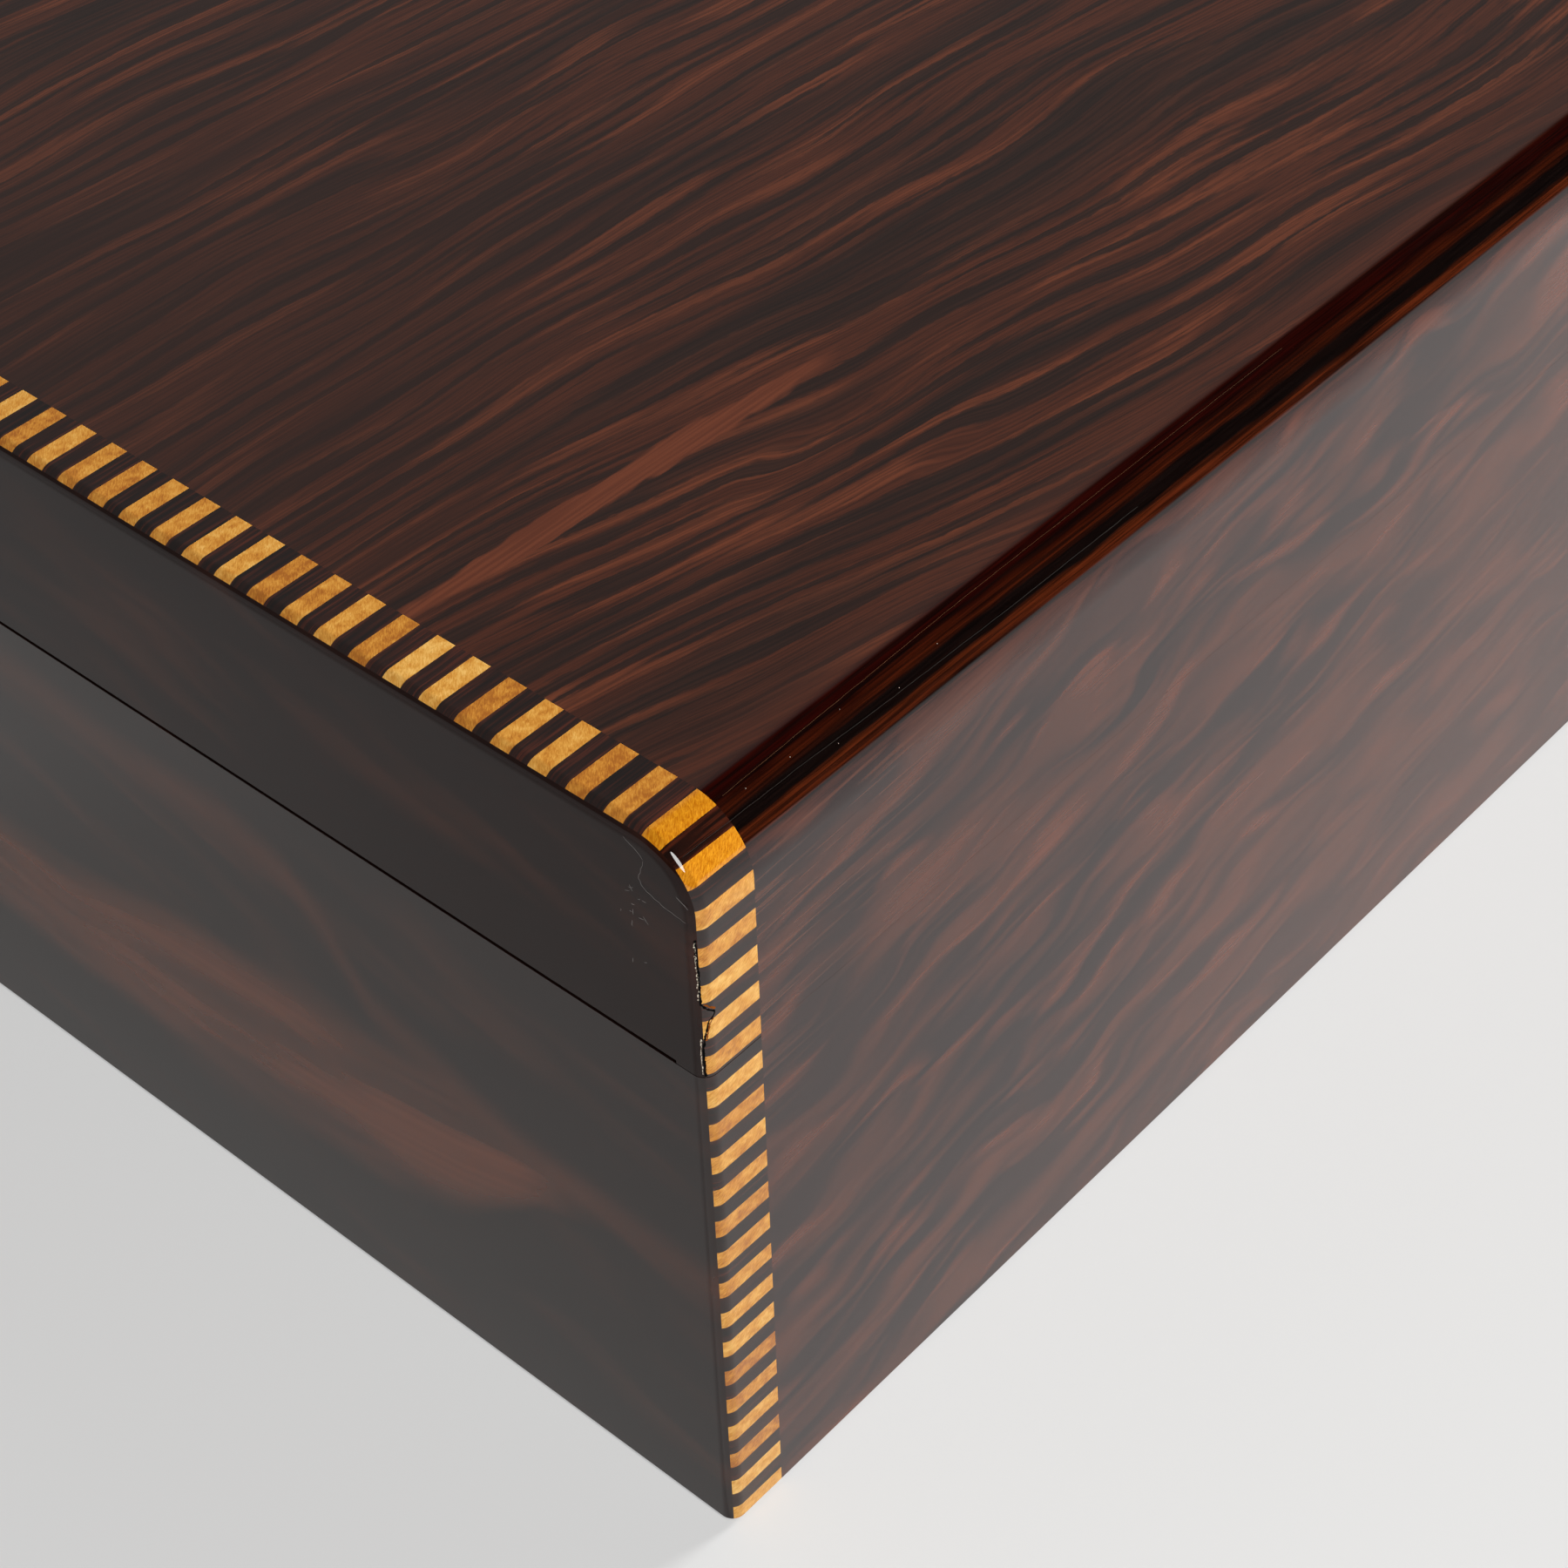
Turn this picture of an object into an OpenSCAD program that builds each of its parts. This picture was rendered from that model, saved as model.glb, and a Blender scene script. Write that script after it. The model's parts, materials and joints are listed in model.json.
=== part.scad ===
/* [Box] */
// Outside length of the box
box_l = 360; // [260:1:480]
// Outside depth, front to back
box_w = 250; // [180:1:340]
// Height of the wood, without the felt under it
wood_h = 122.7; // [95:0.1:180]
// Height of the lid, from the saw cut to the top
lid_h = 34.8; // [28:0.1:55]
// Radius of the rounded front and back edges of the lid
edge_r = 9; // [5:0.5:11]
// Height of the saw cut between base and lid
seam_gap = 0.12; // [0.08:0.01:0.4]

/* [Boards] */
// Thickness of the core boards of the walls
core_t = 11.4; // [10.5:0.1:16]
// Thickness of the lid's top board
top_t = 8.2; // [6:0.1:11]
// Thickness of the bottom board
bottom_t = 6; // [4:0.5:10]
// Width of the rebates that the top and bottom boards sit in
rebate_w = 4; // [2:0.5:8]
// Radius of the dowels at the corners
dowel_r = 3; // [1.5:0.5:3.5]
// Length of a dowel
dowel_l = 30; // [20:1:40]
// Dowels at each corner of the base
dowel_n = 3; // [2:1:4]
// Height of the lid's dowels above the saw cut
lid_dowel_z = 12; // [6:0.5:16]
// Room around a glued dowel
glue_gap = 0.05; // [0.02:0.01:0.1]

/* [Veneer and ladder inlay] */
// Thickness of the veneer and of the inlay
veneer_t = 0.6; // [0.5:0.1:1.5]
// Length of a ladder rung, across the band
ladder_w = 9.05; // [5:0.05:16]
// Distance from one light rung to the next
ladder_pitch = 5.92; // [4:0.02:12]
// Width of a light rung along the band
light_w = 2.96; // [1.5:0.02:5]
// Height of the shadow groove over the saw cut in the end faces
groove_h = 0.5; // [0.3:0.1:1]
// Depth of that groove
groove_d = 1.5; // [1:0.1:3]
// Distance from the groove's end to the corner
groove_stop = 4.65; // [2:0.05:20]

/* [Lining] */
// Thickness of the cedar liners
liner_t = 5; // [3:0.5:8]
// Height of the liner's lip above the rim
lip_h = 5; // [3:0.5:10]
// Room between the lip and the lid's wall
lip_gap = 0.5; // [0.3:0.1:1.5]
// Thickness of the suede pads in the base and in the lid
pad_t = 2.5; // [1:0.5:5]
// Room around a pad
pad_gap = 0.5; // [0.3:0.1:2]
// Thickness of the felt under the base
felt_t = 0.8; // [0.6:0.1:3]
// Distance from the felt's edge to the box's edge
felt_inset = 3; // [1:0.5:12]

/* [Hinges] */
// Length of a hinge
hinge_l = 36; // [24:1:60]
// Distance from each hinge's centre to the box's end
hinge_inset = 70; // [50:1:95]
// Thickness of a hinge leaf
leaf_t = 2; // [1.5:0.1:2.5]
// How far a leaf reaches into the wall
leaf_in = 9.5; // [7:0.5:11]
// Radius of the knuckles
knuckle_r = 3; // [2.6:0.1:4]
// Room between the back face and the knuckles
knuckle_gap = 0.2; // [0.1:0.05:0.5]
// Room between neighbouring knuckles
knuckle_play = 0.15; // [0.1:0.05:0.4]
// Radius of the hinge pin
pin_r = 1.5; // [1:0.1:1.8]
// Running clearance of the pin in the lid's knuckle
pin_play = 0.05; // [0.02:0.01:0.1]
// How far the stop heels stand out from the knuckles
heel_out = 2.5; // [1.5:0.1:4]
// Angle at which the stop heels meet
open_angle = 95; // [90:1:105]
// Angle that is left between the heels when the lid stands open
heel_play = 0.5; // [0.2:0.1:1]
// Distance between hinge screws
screw_pitch = 12; // [8:0.5:18]
// Radius of a screw's shank
screw_r = 1.2; // [0.8:0.1:1.5]
// Radius of a screw's head
head_r = 2.3; // [1.6:0.1:2.6]
// Length of a screw
screw_l = 11; // [7:0.5:16]
// Room around a screw in its leaf
screw_play = 0.05; // [0.02:0.01:0.1]

/* [Hidden] */
$fn = 64;
EPS = 0.01;

// The wood stands on the felt, and the felt's underside is z = 0
wood_z = felt_t;
top_z = felt_t + wood_h;
cut_z = top_z - lid_h;
rim_z = cut_z - seam_gap / 2;
lid_z = cut_z + seam_gap / 2;
// Half sizes: of the whole box, of the cores, of the space inside them and inside the liners
half_l = box_l / 2;
half_w = box_w / 2;
core_x = half_l - veneer_t;
core_y = half_w - veneer_t;
in_x = core_x - core_t;
in_y = core_y - core_t;
liner_x = in_x - liner_t;
liner_y = in_y - liner_t;
core_top = top_z - veneer_t;
core_r = edge_r - veneer_t;
// The top board ends where the rails begin to round
top_half_y = core_y - core_r;
top_under = core_top - top_t;
bottom_z = wood_z + bottom_t;
ladder_x = core_x - ladder_w;

// The ladder is set out along a path over the box, from the middle of the top down the front
flat_s = half_w - edge_r;
arc_s = edge_r * PI / 2;
lid_s = flat_s + arc_s + lid_h - edge_r;
lid_end_s = lid_s - seam_gap / 2;
base_start_s = lid_s + seam_gap / 2;
base_end_s = flat_s + arc_s + wood_h - edge_r;
thinnest = 0.15;

// The dowels share the base's wall out evenly, above the bottom board
dowel_step = (rim_z - bottom_z) / dowel_n;

// Hinge: its axis runs along X at the height of the cut, behind the back face
hinge_x = half_l - hinge_inset;
axis_y = half_w + knuckle_gap + knuckle_r;
third = hinge_l / 3;
leaf_y = half_w - leaf_in;
heel_r = knuckle_r + heel_out;
heel_in = knuckle_r + knuckle_gap;
screw_y = (leaf_y + core_y) / 2;
head_h = head_r - screw_r;
leaf_z = leaf_t - seam_gap / 2;
// The base's heel hangs from straight down; the lid's stands straight up when the lid is shut
heel_sweep = (180 - open_angle - heel_play) / 2;

// ---------- shared forms ----------

// A box between two corners
module block(a, b) {
    translate(a) cube(b - a);
}

// Two copies, one turned left for right
module both_ways(x) {
    for (side = [-1, 1]) translate([side * x, 0, 0]) children();
}

// The left piece, or its mirror image on the right
module on_side(side) {
    if (side < 0) children();
    else mirror([1, 0, 0]) children();
}

// The box's outline across its length (Y across, Z up), with rounded top corners
module section(half, low, high, r) {
    translate([-half, low]) square([2 * half, high - r - low]);
    translate([-half + r, high - r - EPS]) square([2 * (half - r), r + EPS]);
    for (s = [-1, 1]) translate([s * (half - r), high - r]) circle(r);
}

// That outline as a board from x0 to x1
module section_board(x0, x1, half, low, high, r) {
    translate([x0, 0, 0]) rotate([90, 0, 90]) linear_extrude(x1 - x0) section(half, low, high, r);
}

// A sheet of the front face and the front half of the top, between two places on the path
module path_sheet(x0, x1, s0, s1) {
    a0 = max(s0, flat_s);
    a1 = min(s1, flat_s + arc_s);
    v0 = max(s0, flat_s + arc_s);
    if (s0 < flat_s)
        block([x0, -min(s1, flat_s), top_z - veneer_t], [x1, -s0, top_z]);
    if (a1 > a0)
        translate([x0, -flat_s, top_z - edge_r]) rotate([0, 90, 0])
            rotate([0, 0, 180 + (a0 - flat_s) / edge_r * 180 / PI])
                rotate_extrude(angle = (a1 - a0) / edge_r * 180 / PI)
                    translate([core_r, 0]) square([veneer_t, x1 - x0]);
    if (s1 > v0)
        block([x0, -half_w, top_z - edge_r - (s1 - flat_s - arc_s)],
            [x1, -core_y, top_z - edge_r - (v0 - flat_s - arc_s)]);
}

// One rung, cut off where the path's part ends, with its mirror image at the back
module rung(s0, s1, from, to) {
    a = max(s0, from);
    b = min(s1, to);
    if (b - a > thinnest) {
        path_sheet(-core_x, -ladder_x, a, b);
        mirror([0, 1, 0]) path_sheet(-core_x, -ladder_x, a, b);
    }
}

// The light or the dark rungs of one band, on one side, for a part of the path
module ladder(side, light, from, to) {
    shift = light ? 0 : ladder_pitch / 2;
    w = light ? light_w : ladder_pitch - light_w;
    on_side(side) {
        if (light && from == 0)
            block([-core_x, -w / 2, core_top], [-ladder_x, w / 2, top_z]);
        for (k = [(light ? 1 : 0) : floor(to / ladder_pitch) + 1])
            rung(k * ladder_pitch + shift - w / 2, k * ladder_pitch + shift + w / 2, from, to);
    }
}

// ---------- dowels ----------

module dowels_at(z, room) {
    for (sx = [-1, 1], sy = [-1, 1])
        translate([sx * (core_x - core_t / 2 - dowel_l / 2 + core_t / 4), sy * (in_y + core_t / 2), z])
            rotate([0, 90, 0]) cylinder(r = dowel_r + room, h = dowel_l + 2 * room, center = true);
}

module base_dowels_at(room) {
    for (k = [0 : dowel_n - 1]) dowels_at(bottom_z + (k + 0.5) * dowel_step, room);
}

module base_dowels() {
    color("burlywood") base_dowels_at(0);
}

module lid_dowels() {
    color("burlywood") dowels_at(lid_z + lid_dowel_z, 0);
}

// ---------- hinge cutters ----------

// Mortises for the leaves: down into the base's back rim, or up into the lid's
module leaf_mortises(up) {
    both_ways(hinge_x)
        translate([-hinge_l / 2, leaf_y, up ? lid_z - EPS : rim_z - leaf_z])
            cube([hinge_l, leaf_in + EPS, leaf_z + EPS]);
}

// Pilot holes for the screws, down or up
module pilot_holes(up) {
    screws_at() translate([0, 0, cut_z]) mirror([0, 0, up ? 0 : 1])
        cylinder(r = screw_r + screw_play, h = screw_l + seam_gap);
}

module screws_at() {
    both_ways(hinge_x) for (k = [-1, 0, 1]) translate([k * screw_pitch, screw_y, 0]) children();
}

// ---------- base ----------

// The bottom board's place in the walls
module bottom_seat() {
    block([-in_x - rebate_w, -in_y - rebate_w, wood_z - EPS], [in_x + rebate_w, in_y + rebate_w, bottom_z]);
}

module base_front_panel() {
    color("#3a241a") difference() {
        block([-in_x, -core_y, wood_z], [in_x, -in_y, rim_z]);
        bottom_seat();
        base_dowels_at(glue_gap);
    }
}

module base_back_panel() {
    color("#3a241a") difference() {
        block([-in_x, in_y, wood_z], [in_x, core_y, rim_z]);
        bottom_seat();
        base_dowels_at(glue_gap);
        leaf_mortises(false);
        pilot_holes(false);
    }
}

module base_end(side) {
    color("#3a241a") on_side(side) difference() {
        block([-core_x, -core_y, wood_z], [-in_x, core_y, rim_z]);
        bottom_seat();
        base_dowels_at(glue_gap);
    }
}

module base_left_end() { base_end(-1); }
module base_right_end() { base_end(1); }

module base_bottom_board() {
    color("#8a5a34")
        block([-in_x - rebate_w, -in_y - rebate_w, wood_z], [in_x + rebate_w, in_y + rebate_w, bottom_z]);
}

module base_front_veneer() {
    color("#2a1611") block([-ladder_x, -half_w, wood_z], [ladder_x, -core_y, rim_z]);
}

module base_back_veneer() {
    color("#2a1611") difference() {
        block([-ladder_x, core_y, wood_z], [ladder_x, half_w, rim_z]);
        leaf_mortises(false);
    }
}

module base_end_veneer(side) {
    color("#241813") on_side(side) block([-half_l, -half_w, wood_z], [-core_x, half_w, rim_z]);
}

module base_left_end_veneer() { base_end_veneer(-1); }
module base_right_end_veneer() { base_end_veneer(1); }

module base_left_ladder_light() { color("#e0a85a") ladder(-1, true, base_start_s, base_end_s); }
module base_left_ladder_dark() { color("#2b1a12") ladder(-1, false, base_start_s, base_end_s); }
module base_right_ladder_light() { color("#e0a85a") ladder(1, true, base_start_s, base_end_s); }
module base_right_ladder_dark() { color("#2b1a12") ladder(1, false, base_start_s, base_end_s); }

// A liner along the front or back: full length, stepped in where its lip enters the lid
module long_base_liner() {
    color("#b5714a") {
        block([-in_x, -in_y, bottom_z], [in_x, -liner_y, rim_z]);
        block([-in_x + lip_gap, -in_y + lip_gap, rim_z - EPS], [in_x - lip_gap, -liner_y, rim_z + lip_h]);
    }
}

module base_front_liner() { long_base_liner(); }
module base_back_liner() { mirror([0, 1, 0]) long_base_liner(); }

// A liner along an end, between the long ones
module short_base_liner(side) {
    color("#b5714a") on_side(side) {
        block([-in_x, -liner_y, bottom_z], [-liner_x, liner_y, rim_z]);
        block([-in_x + lip_gap, -liner_y, rim_z - EPS], [-liner_x, liner_y, rim_z + lip_h]);
    }
}

module base_left_liner() { short_base_liner(-1); }
module base_right_liner() { short_base_liner(1); }

module base_suede_pad() {
    color("#5a2026") block([-liner_x + pad_gap, -liner_y + pad_gap, bottom_z],
        [liner_x - pad_gap, liner_y - pad_gap, bottom_z + pad_t]);
}

module base_felt() {
    color("#1d1d1f") block([-half_l + felt_inset, -half_w + felt_inset, 0],
        [half_l - felt_inset, half_w - felt_inset, felt_t]);
}

// ---------- lid ----------

// The top board's place in the rails and ends
module top_seat() {
    block([-in_x - rebate_w, -top_half_y, top_under], [in_x + rebate_w, top_half_y, core_top + EPS]);
}

module lid_rail() {
    difference() {
        section_board(-in_x, in_x, core_y, lid_z, core_top, core_r);
        block([-half_l, -in_y, lid_z - EPS], [half_l, half_w, core_top + EPS]);
        top_seat();
        dowels_at(lid_z + lid_dowel_z, glue_gap);
    }
}

module lid_front_rail() {
    color("#3a241a") lid_rail();
}

module lid_back_rail() {
    color("#3a241a") difference() {
        mirror([0, 1, 0]) lid_rail();
        leaf_mortises(true);
        pilot_holes(true);
    }
}

// The shadow groove along the lower edge of the lid's end faces
module shadow_groove() {
    block([-half_l - EPS, -half_w + groove_stop, lid_z - EPS],
        [-half_l + groove_d, half_w - groove_stop, lid_z + groove_h]);
}

module lid_end(side) {
    color("#3a241a") on_side(side) difference() {
        section_board(-core_x, -in_x, core_y, lid_z, core_top, core_r);
        top_seat();
        dowels_at(lid_z + lid_dowel_z, glue_gap);
        shadow_groove();
    }
}

module lid_left_end() { lid_end(-1); }
module lid_right_end() { lid_end(1); }

module lid_top_board() {
    color("#8a5a34") block([-in_x - rebate_w, -top_half_y, top_under], [in_x + rebate_w, top_half_y, core_top]);
}

// One sheet up the front, over both rounded edges and down the back
module lid_wrap_veneer() {
    color("#2a1611") difference() {
        section_board(-ladder_x, ladder_x, half_w, lid_z, top_z, edge_r);
        section_board(-half_l, half_l, core_y, lid_z - 1, core_top, core_r);
        leaf_mortises(true);
    }
}

module lid_end_veneer(side) {
    color("#241813") on_side(side) difference() {
        section_board(-half_l, -core_x, half_w, lid_z, top_z, edge_r);
        shadow_groove();
    }
}

module lid_left_end_veneer() { lid_end_veneer(-1); }
module lid_right_end_veneer() { lid_end_veneer(1); }

module lid_left_ladder_light() { color("#e0a85a") ladder(-1, true, 0, lid_end_s); }
module lid_left_ladder_dark() { color("#2b1a12") ladder(-1, false, 0, lid_end_s); }
module lid_right_ladder_light() { color("#e0a85a") ladder(1, true, 0, lid_end_s); }
module lid_right_ladder_dark() { color("#2b1a12") ladder(1, false, 0, lid_end_s); }

// The lid's liners stop above the lip of the base's liners
lid_liner_z = rim_z + lip_h + lip_gap;

module long_lid_liner() {
    color("#b5714a") block([-in_x, -in_y, lid_liner_z], [in_x, -liner_y, top_under]);
}

module short_lid_liner(side) {
    color("#b5714a") on_side(side) block([-in_x, -liner_y, lid_liner_z], [-liner_x, liner_y, top_under]);
}

module lid_front_liner() { long_lid_liner(); }
module lid_back_liner() { mirror([0, 1, 0]) long_lid_liner(); }
module lid_left_liner() { short_lid_liner(-1); }
module lid_right_liner() { short_lid_liner(1); }

module lid_suede_pad() {
    color("#5a2026") block([-liner_x + pad_gap, -liner_y + pad_gap, top_under - pad_t],
        [liner_x - pad_gap, liner_y - pad_gap, top_under]);
}

// ---------- hinges ----------

// A round bar along X around the hinge axis
module axis_rod(r, x0, x1) {
    translate([x0, axis_y, cut_z]) rotate([0, 90, 0]) cylinder(r = r, h = x1 - x0);
}

// A wedge of a tube around the hinge axis, from angle a0 (0 is straight back, 90 straight up)
module heel(r0, a0, sweep, x0, x1) {
    translate([x0, axis_y, cut_z]) rotate([90, 0, 90]) rotate([0, 0, a0])
        rotate_extrude(angle = sweep) translate([r0, 0]) square([heel_r - r0, x1 - x0]);
}

// Countersunk holes through a leaf, opening at the cut
module leaf_holes(up) {
    for (k = [-1, 0, 1]) translate([k * screw_pitch, screw_y, cut_z]) mirror([0, 0, up ? 0 : 1]) {
        translate([0, 0, -EPS]) cylinder(r = screw_r + screw_play, h = leaf_t + 1);
        translate([0, 0, seam_gap / 2 - EPS])
            cylinder(r1 = head_r + screw_play + EPS, r2 = screw_r + screw_play, h = head_h + EPS);
    }
}

module base_leaf() {
    color("#b08d3e") difference() {
        union() {
            block([-hinge_l / 2, leaf_y, cut_z - leaf_t], [hinge_l / 2, axis_y, rim_z]);
            for (k = [-1, 1])
                axis_rod(knuckle_r, k * third - third / 2, k * third + third / 2);
            for (k = [-1, 1])
                heel(knuckle_r - pin_r / 2, -90, heel_sweep, k * third - third / 2, k * third + third / 2);
            heel(heel_in, -90, heel_sweep, -hinge_l / 2, hinge_l / 2);
        }
        axis_rod(heel_in, -third / 2 - knuckle_play, third / 2 + knuckle_play);
        axis_rod(pin_r, -hinge_l / 2 - 1, hinge_l / 2 + 1);
        leaf_holes(false);
    }
}

module lid_leaf() {
    color("#b08d3e") difference() {
        union() {
            difference() {
                block([-hinge_l / 2, leaf_y, lid_z], [hinge_l / 2, axis_y, cut_z + leaf_t]);
                for (k = [-1, 1])
                    axis_rod(heel_in, k * third - third / 2 - knuckle_play, k * third + third / 2 + knuckle_play);
            }
            axis_rod(knuckle_r, -third / 2 + knuckle_play, third / 2 - knuckle_play);
            heel(knuckle_r - pin_r / 2, 90 - heel_sweep, heel_sweep,
                -third / 2 + knuckle_play, third / 2 - knuckle_play);
        }
        axis_rod(pin_r + pin_play, -hinge_l / 2 - 1, hinge_l / 2 + 1);
        leaf_holes(true);
    }
}

module pin() {
    color("#8f7030") axis_rod(pin_r, -hinge_l / 2, hinge_l / 2);
}

module left_hinge_base_leaf() { translate([-hinge_x, 0, 0]) base_leaf(); }
module right_hinge_base_leaf() { translate([hinge_x, 0, 0]) base_leaf(); }
module left_hinge_lid_leaf() { translate([-hinge_x, 0, 0]) lid_leaf(); }
module right_hinge_lid_leaf() { translate([hinge_x, 0, 0]) lid_leaf(); }
module left_hinge_pin() { translate([-hinge_x, 0, 0]) pin(); }
module right_hinge_pin() { translate([hinge_x, 0, 0]) pin(); }

// A countersunk screw with its head at the rim, pointing up into the lid, with a slot
module screw() {
    slot_w = 0.5;
    slot_d = 0.6;
    translate([0, 0, cut_z + seam_gap / 2]) difference() {
        union() {
            cylinder(r1 = head_r, r2 = screw_r, h = head_h);
            cylinder(r = screw_r, h = screw_l - screw_r);
            translate([0, 0, screw_l - screw_r]) cylinder(r1 = screw_r, r2 = 0, h = screw_r);
        }
        translate([-head_r - 1, -slot_w / 2, -1]) cube([2 * head_r + 2, slot_w, slot_d + 1]);
    }
}

module base_hinge_screws() {
    color("#b08d3e") screws_at() translate([0, 0, 2 * cut_z]) mirror([0, 0, 1]) screw();
}

module lid_hinge_screws() {
    color("#b08d3e") screws_at() screw();
}

base_front_panel();
base_back_panel();
base_left_end();
base_right_end();
base_bottom_board();
base_dowels();
base_front_veneer();
base_back_veneer();
base_left_end_veneer();
base_right_end_veneer();
base_left_ladder_light();
base_left_ladder_dark();
base_right_ladder_light();
base_right_ladder_dark();
base_front_liner();
base_back_liner();
base_left_liner();
base_right_liner();
base_suede_pad();
base_felt();
left_hinge_base_leaf();
right_hinge_base_leaf();
left_hinge_pin();
right_hinge_pin();
base_hinge_screws();
lid_front_rail();
lid_back_rail();
lid_left_end();
lid_right_end();
lid_top_board();
lid_dowels();
lid_wrap_veneer();
lid_left_end_veneer();
lid_right_end_veneer();
lid_left_ladder_light();
lid_left_ladder_dark();
lid_right_ladder_light();
lid_right_ladder_dark();
lid_front_liner();
lid_back_liner();
lid_left_liner();
lid_right_liner();
lid_suede_pad();
left_hinge_lid_leaf();
right_hinge_lid_leaf();
lid_hinge_screws();
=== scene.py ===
import json
import math

import bpy
import numpy as np
from mathutils import Matrix, Vector


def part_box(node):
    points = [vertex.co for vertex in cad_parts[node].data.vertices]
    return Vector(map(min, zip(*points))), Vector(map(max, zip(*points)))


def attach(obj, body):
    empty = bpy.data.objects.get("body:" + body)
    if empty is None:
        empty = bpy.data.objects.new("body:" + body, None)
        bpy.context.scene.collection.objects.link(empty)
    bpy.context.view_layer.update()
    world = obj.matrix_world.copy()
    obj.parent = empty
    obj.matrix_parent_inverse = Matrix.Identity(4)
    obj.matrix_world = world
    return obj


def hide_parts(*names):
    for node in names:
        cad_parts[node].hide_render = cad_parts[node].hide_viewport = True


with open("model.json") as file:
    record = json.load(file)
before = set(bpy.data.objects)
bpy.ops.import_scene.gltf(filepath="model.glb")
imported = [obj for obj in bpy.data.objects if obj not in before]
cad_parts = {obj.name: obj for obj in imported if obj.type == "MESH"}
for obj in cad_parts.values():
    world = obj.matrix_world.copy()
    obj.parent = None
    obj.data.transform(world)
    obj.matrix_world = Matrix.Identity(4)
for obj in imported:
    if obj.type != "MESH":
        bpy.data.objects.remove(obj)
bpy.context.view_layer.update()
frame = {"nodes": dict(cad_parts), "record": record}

# Lengths are in metres, with X along the box, Y from front to back and Z up. The outer veneers and
# the inlay are laid out along one path across the box: it starts at the middle of the lid's top,
# runs over the rounded edge and down the side. Distance along it is positive to the front and
# negative to the back.

# -------- sizes

MM = 0.001

# The outside, from the frame. LID_Z and RIM_Z are the two sides of the saw cut, WOOD_Z is the bottom
# of the wood, FLAT the end of the flat top, where the rounded edge begins, and BAND_IN the inner
# edge of the ladder bands.
LID_LOW, LID_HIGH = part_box("lid_left_end_veneer")
BASE_LOW, BASE_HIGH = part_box("base_left_end_veneer")
HALF_L = -LID_LOW.x
HALF_W = LID_HIGH.y
TOP = LID_HIGH.z
LID_Z = LID_LOW.z
RIM_Z = BASE_HIGH.z
WOOD_Z = BASE_LOW.z
VENEER = HALF_L + LID_HIGH.x
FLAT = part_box("lid_top_board")[1].y
EDGE_R = HALF_W - FLAT
ARC = EDGE_R * math.pi / 2
BAND_IN = -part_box("lid_left_ladder_light")[1].x

# The inside, from the frame: the walls that the liners stand against, and the liners' thickness
BASE_LINER_LOW, BASE_LINER_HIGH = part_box("base_front_liner")
LID_LINER_LOW, LID_LINER_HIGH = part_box("lid_front_liner")
IN_X = -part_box("base_left_liner")[0].x
IN_Y = -BASE_LINER_LOW.y
LINER = IN_Y + BASE_LINER_HIGH.y

# The inlay: its pitch, the width of a light rung, the thinnest cut rung that is kept, how far the
# saw wanders off a border, and how far it runs out of square, as a share of that
PITCH = 5.92 * MM
LIGHT_RUNG = 2.96 * MM
THINNEST_RUNG = 0.15 * MM
SAW_WANDER = 0.05 * MM
SAW_SKEW = 1.2

# How far the long veneers reach into the seam from both sides, so that it shows as a hairline
SAW_LINE = 0.045 * MM

# The small rounding where the end faces meet the rest, and the groove over the saw cut
ARRIS_R = 2.0 * MM
GROOVE_H = 0.5 * MM
GROOVE_STOP = 4.65 * MM

# A narrow flat strip beside each rounding, which keeps its shading off the wide faces
STRIP = 0.1 * MM

# The liners' rounded edges, and the gap between the lip and the lid
LIP_GAP = 0.5 * MM
LIP_OUTER_R = 1.4 * MM
LIP_INNER_R = 1.8 * MM
LID_LINER_R = 1.2 * MM

# How far the map of a liner's grain is moved, so that opposite liners differ
LINER_SHIFT = 50 * MM

# How deep a hinge leaf lies in the wood
HINGE_LEAF = 1.94 * MM

# The pads' and the felt's rounded rims, the pads' crown, the share of their height that stands at
# the rim, and how much they wave, with the turns of those waves in radians per metre
PAD_RIM = 2.0 * MM
PAD_CROWN = 0.5 * MM
FELT_RIM = 0.5 * MM
RIM_SHARE = 0.25
PAD_WAVE = 0.06 * MM
WAVE_TURNS = (61, 83)

# What picks how far off and how far out of square each border of a rung is: the stride and the
# spread of its scatter. What picks each rung's tone: a seed
OFF_SCATTER = (12.9898, 43758.5453)
SKEW_SCATTER = (78.233, 24634.6345)
TONE_SEEDS = {"light": 17, "dark": 29}

# Steps of the rounded edge on the wrapped veneer and on the ends, of the arris on both sides of its
# joint, and across a rung
WRAP_STEPS = 48
END_EDGE_STEPS = 40
BAND_ARRIS_STEPS = 8
END_ARRIS_STEPS = 11
RUNG_STEPS = 20

# Steps of a liner's rounded edge, of a pad's rim, and between its rims
ROUND_STEPS = 5
RIM_STEPS = 6
PAD_STEPS = 40

# The corner numbers of a block's six faces, with its corners in order of x, y and z
BLOCK_FACES = [(0, 1, 3, 2), (4, 6, 7, 5), (0, 4, 5, 1), (2, 3, 7, 6), (0, 2, 6, 4), (1, 5, 7, 3)]


def along_path(z):
    """The distance along the path of the height z on the front: the flat, the arc, and the rest
    straight down."""
    return FLAT + ARC + (TOP - EDGE_R - z)


LID_END = along_path(LID_Z)
BASE_START = along_path(RIM_Z)
BASE_END = along_path(WOOD_Z)

# -------- shader maths

# The numbers of a Mix node's sockets for two colours and their mixture
MIX_A = 6
MIX_B = 7
MIX_RESULT = 2


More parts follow.
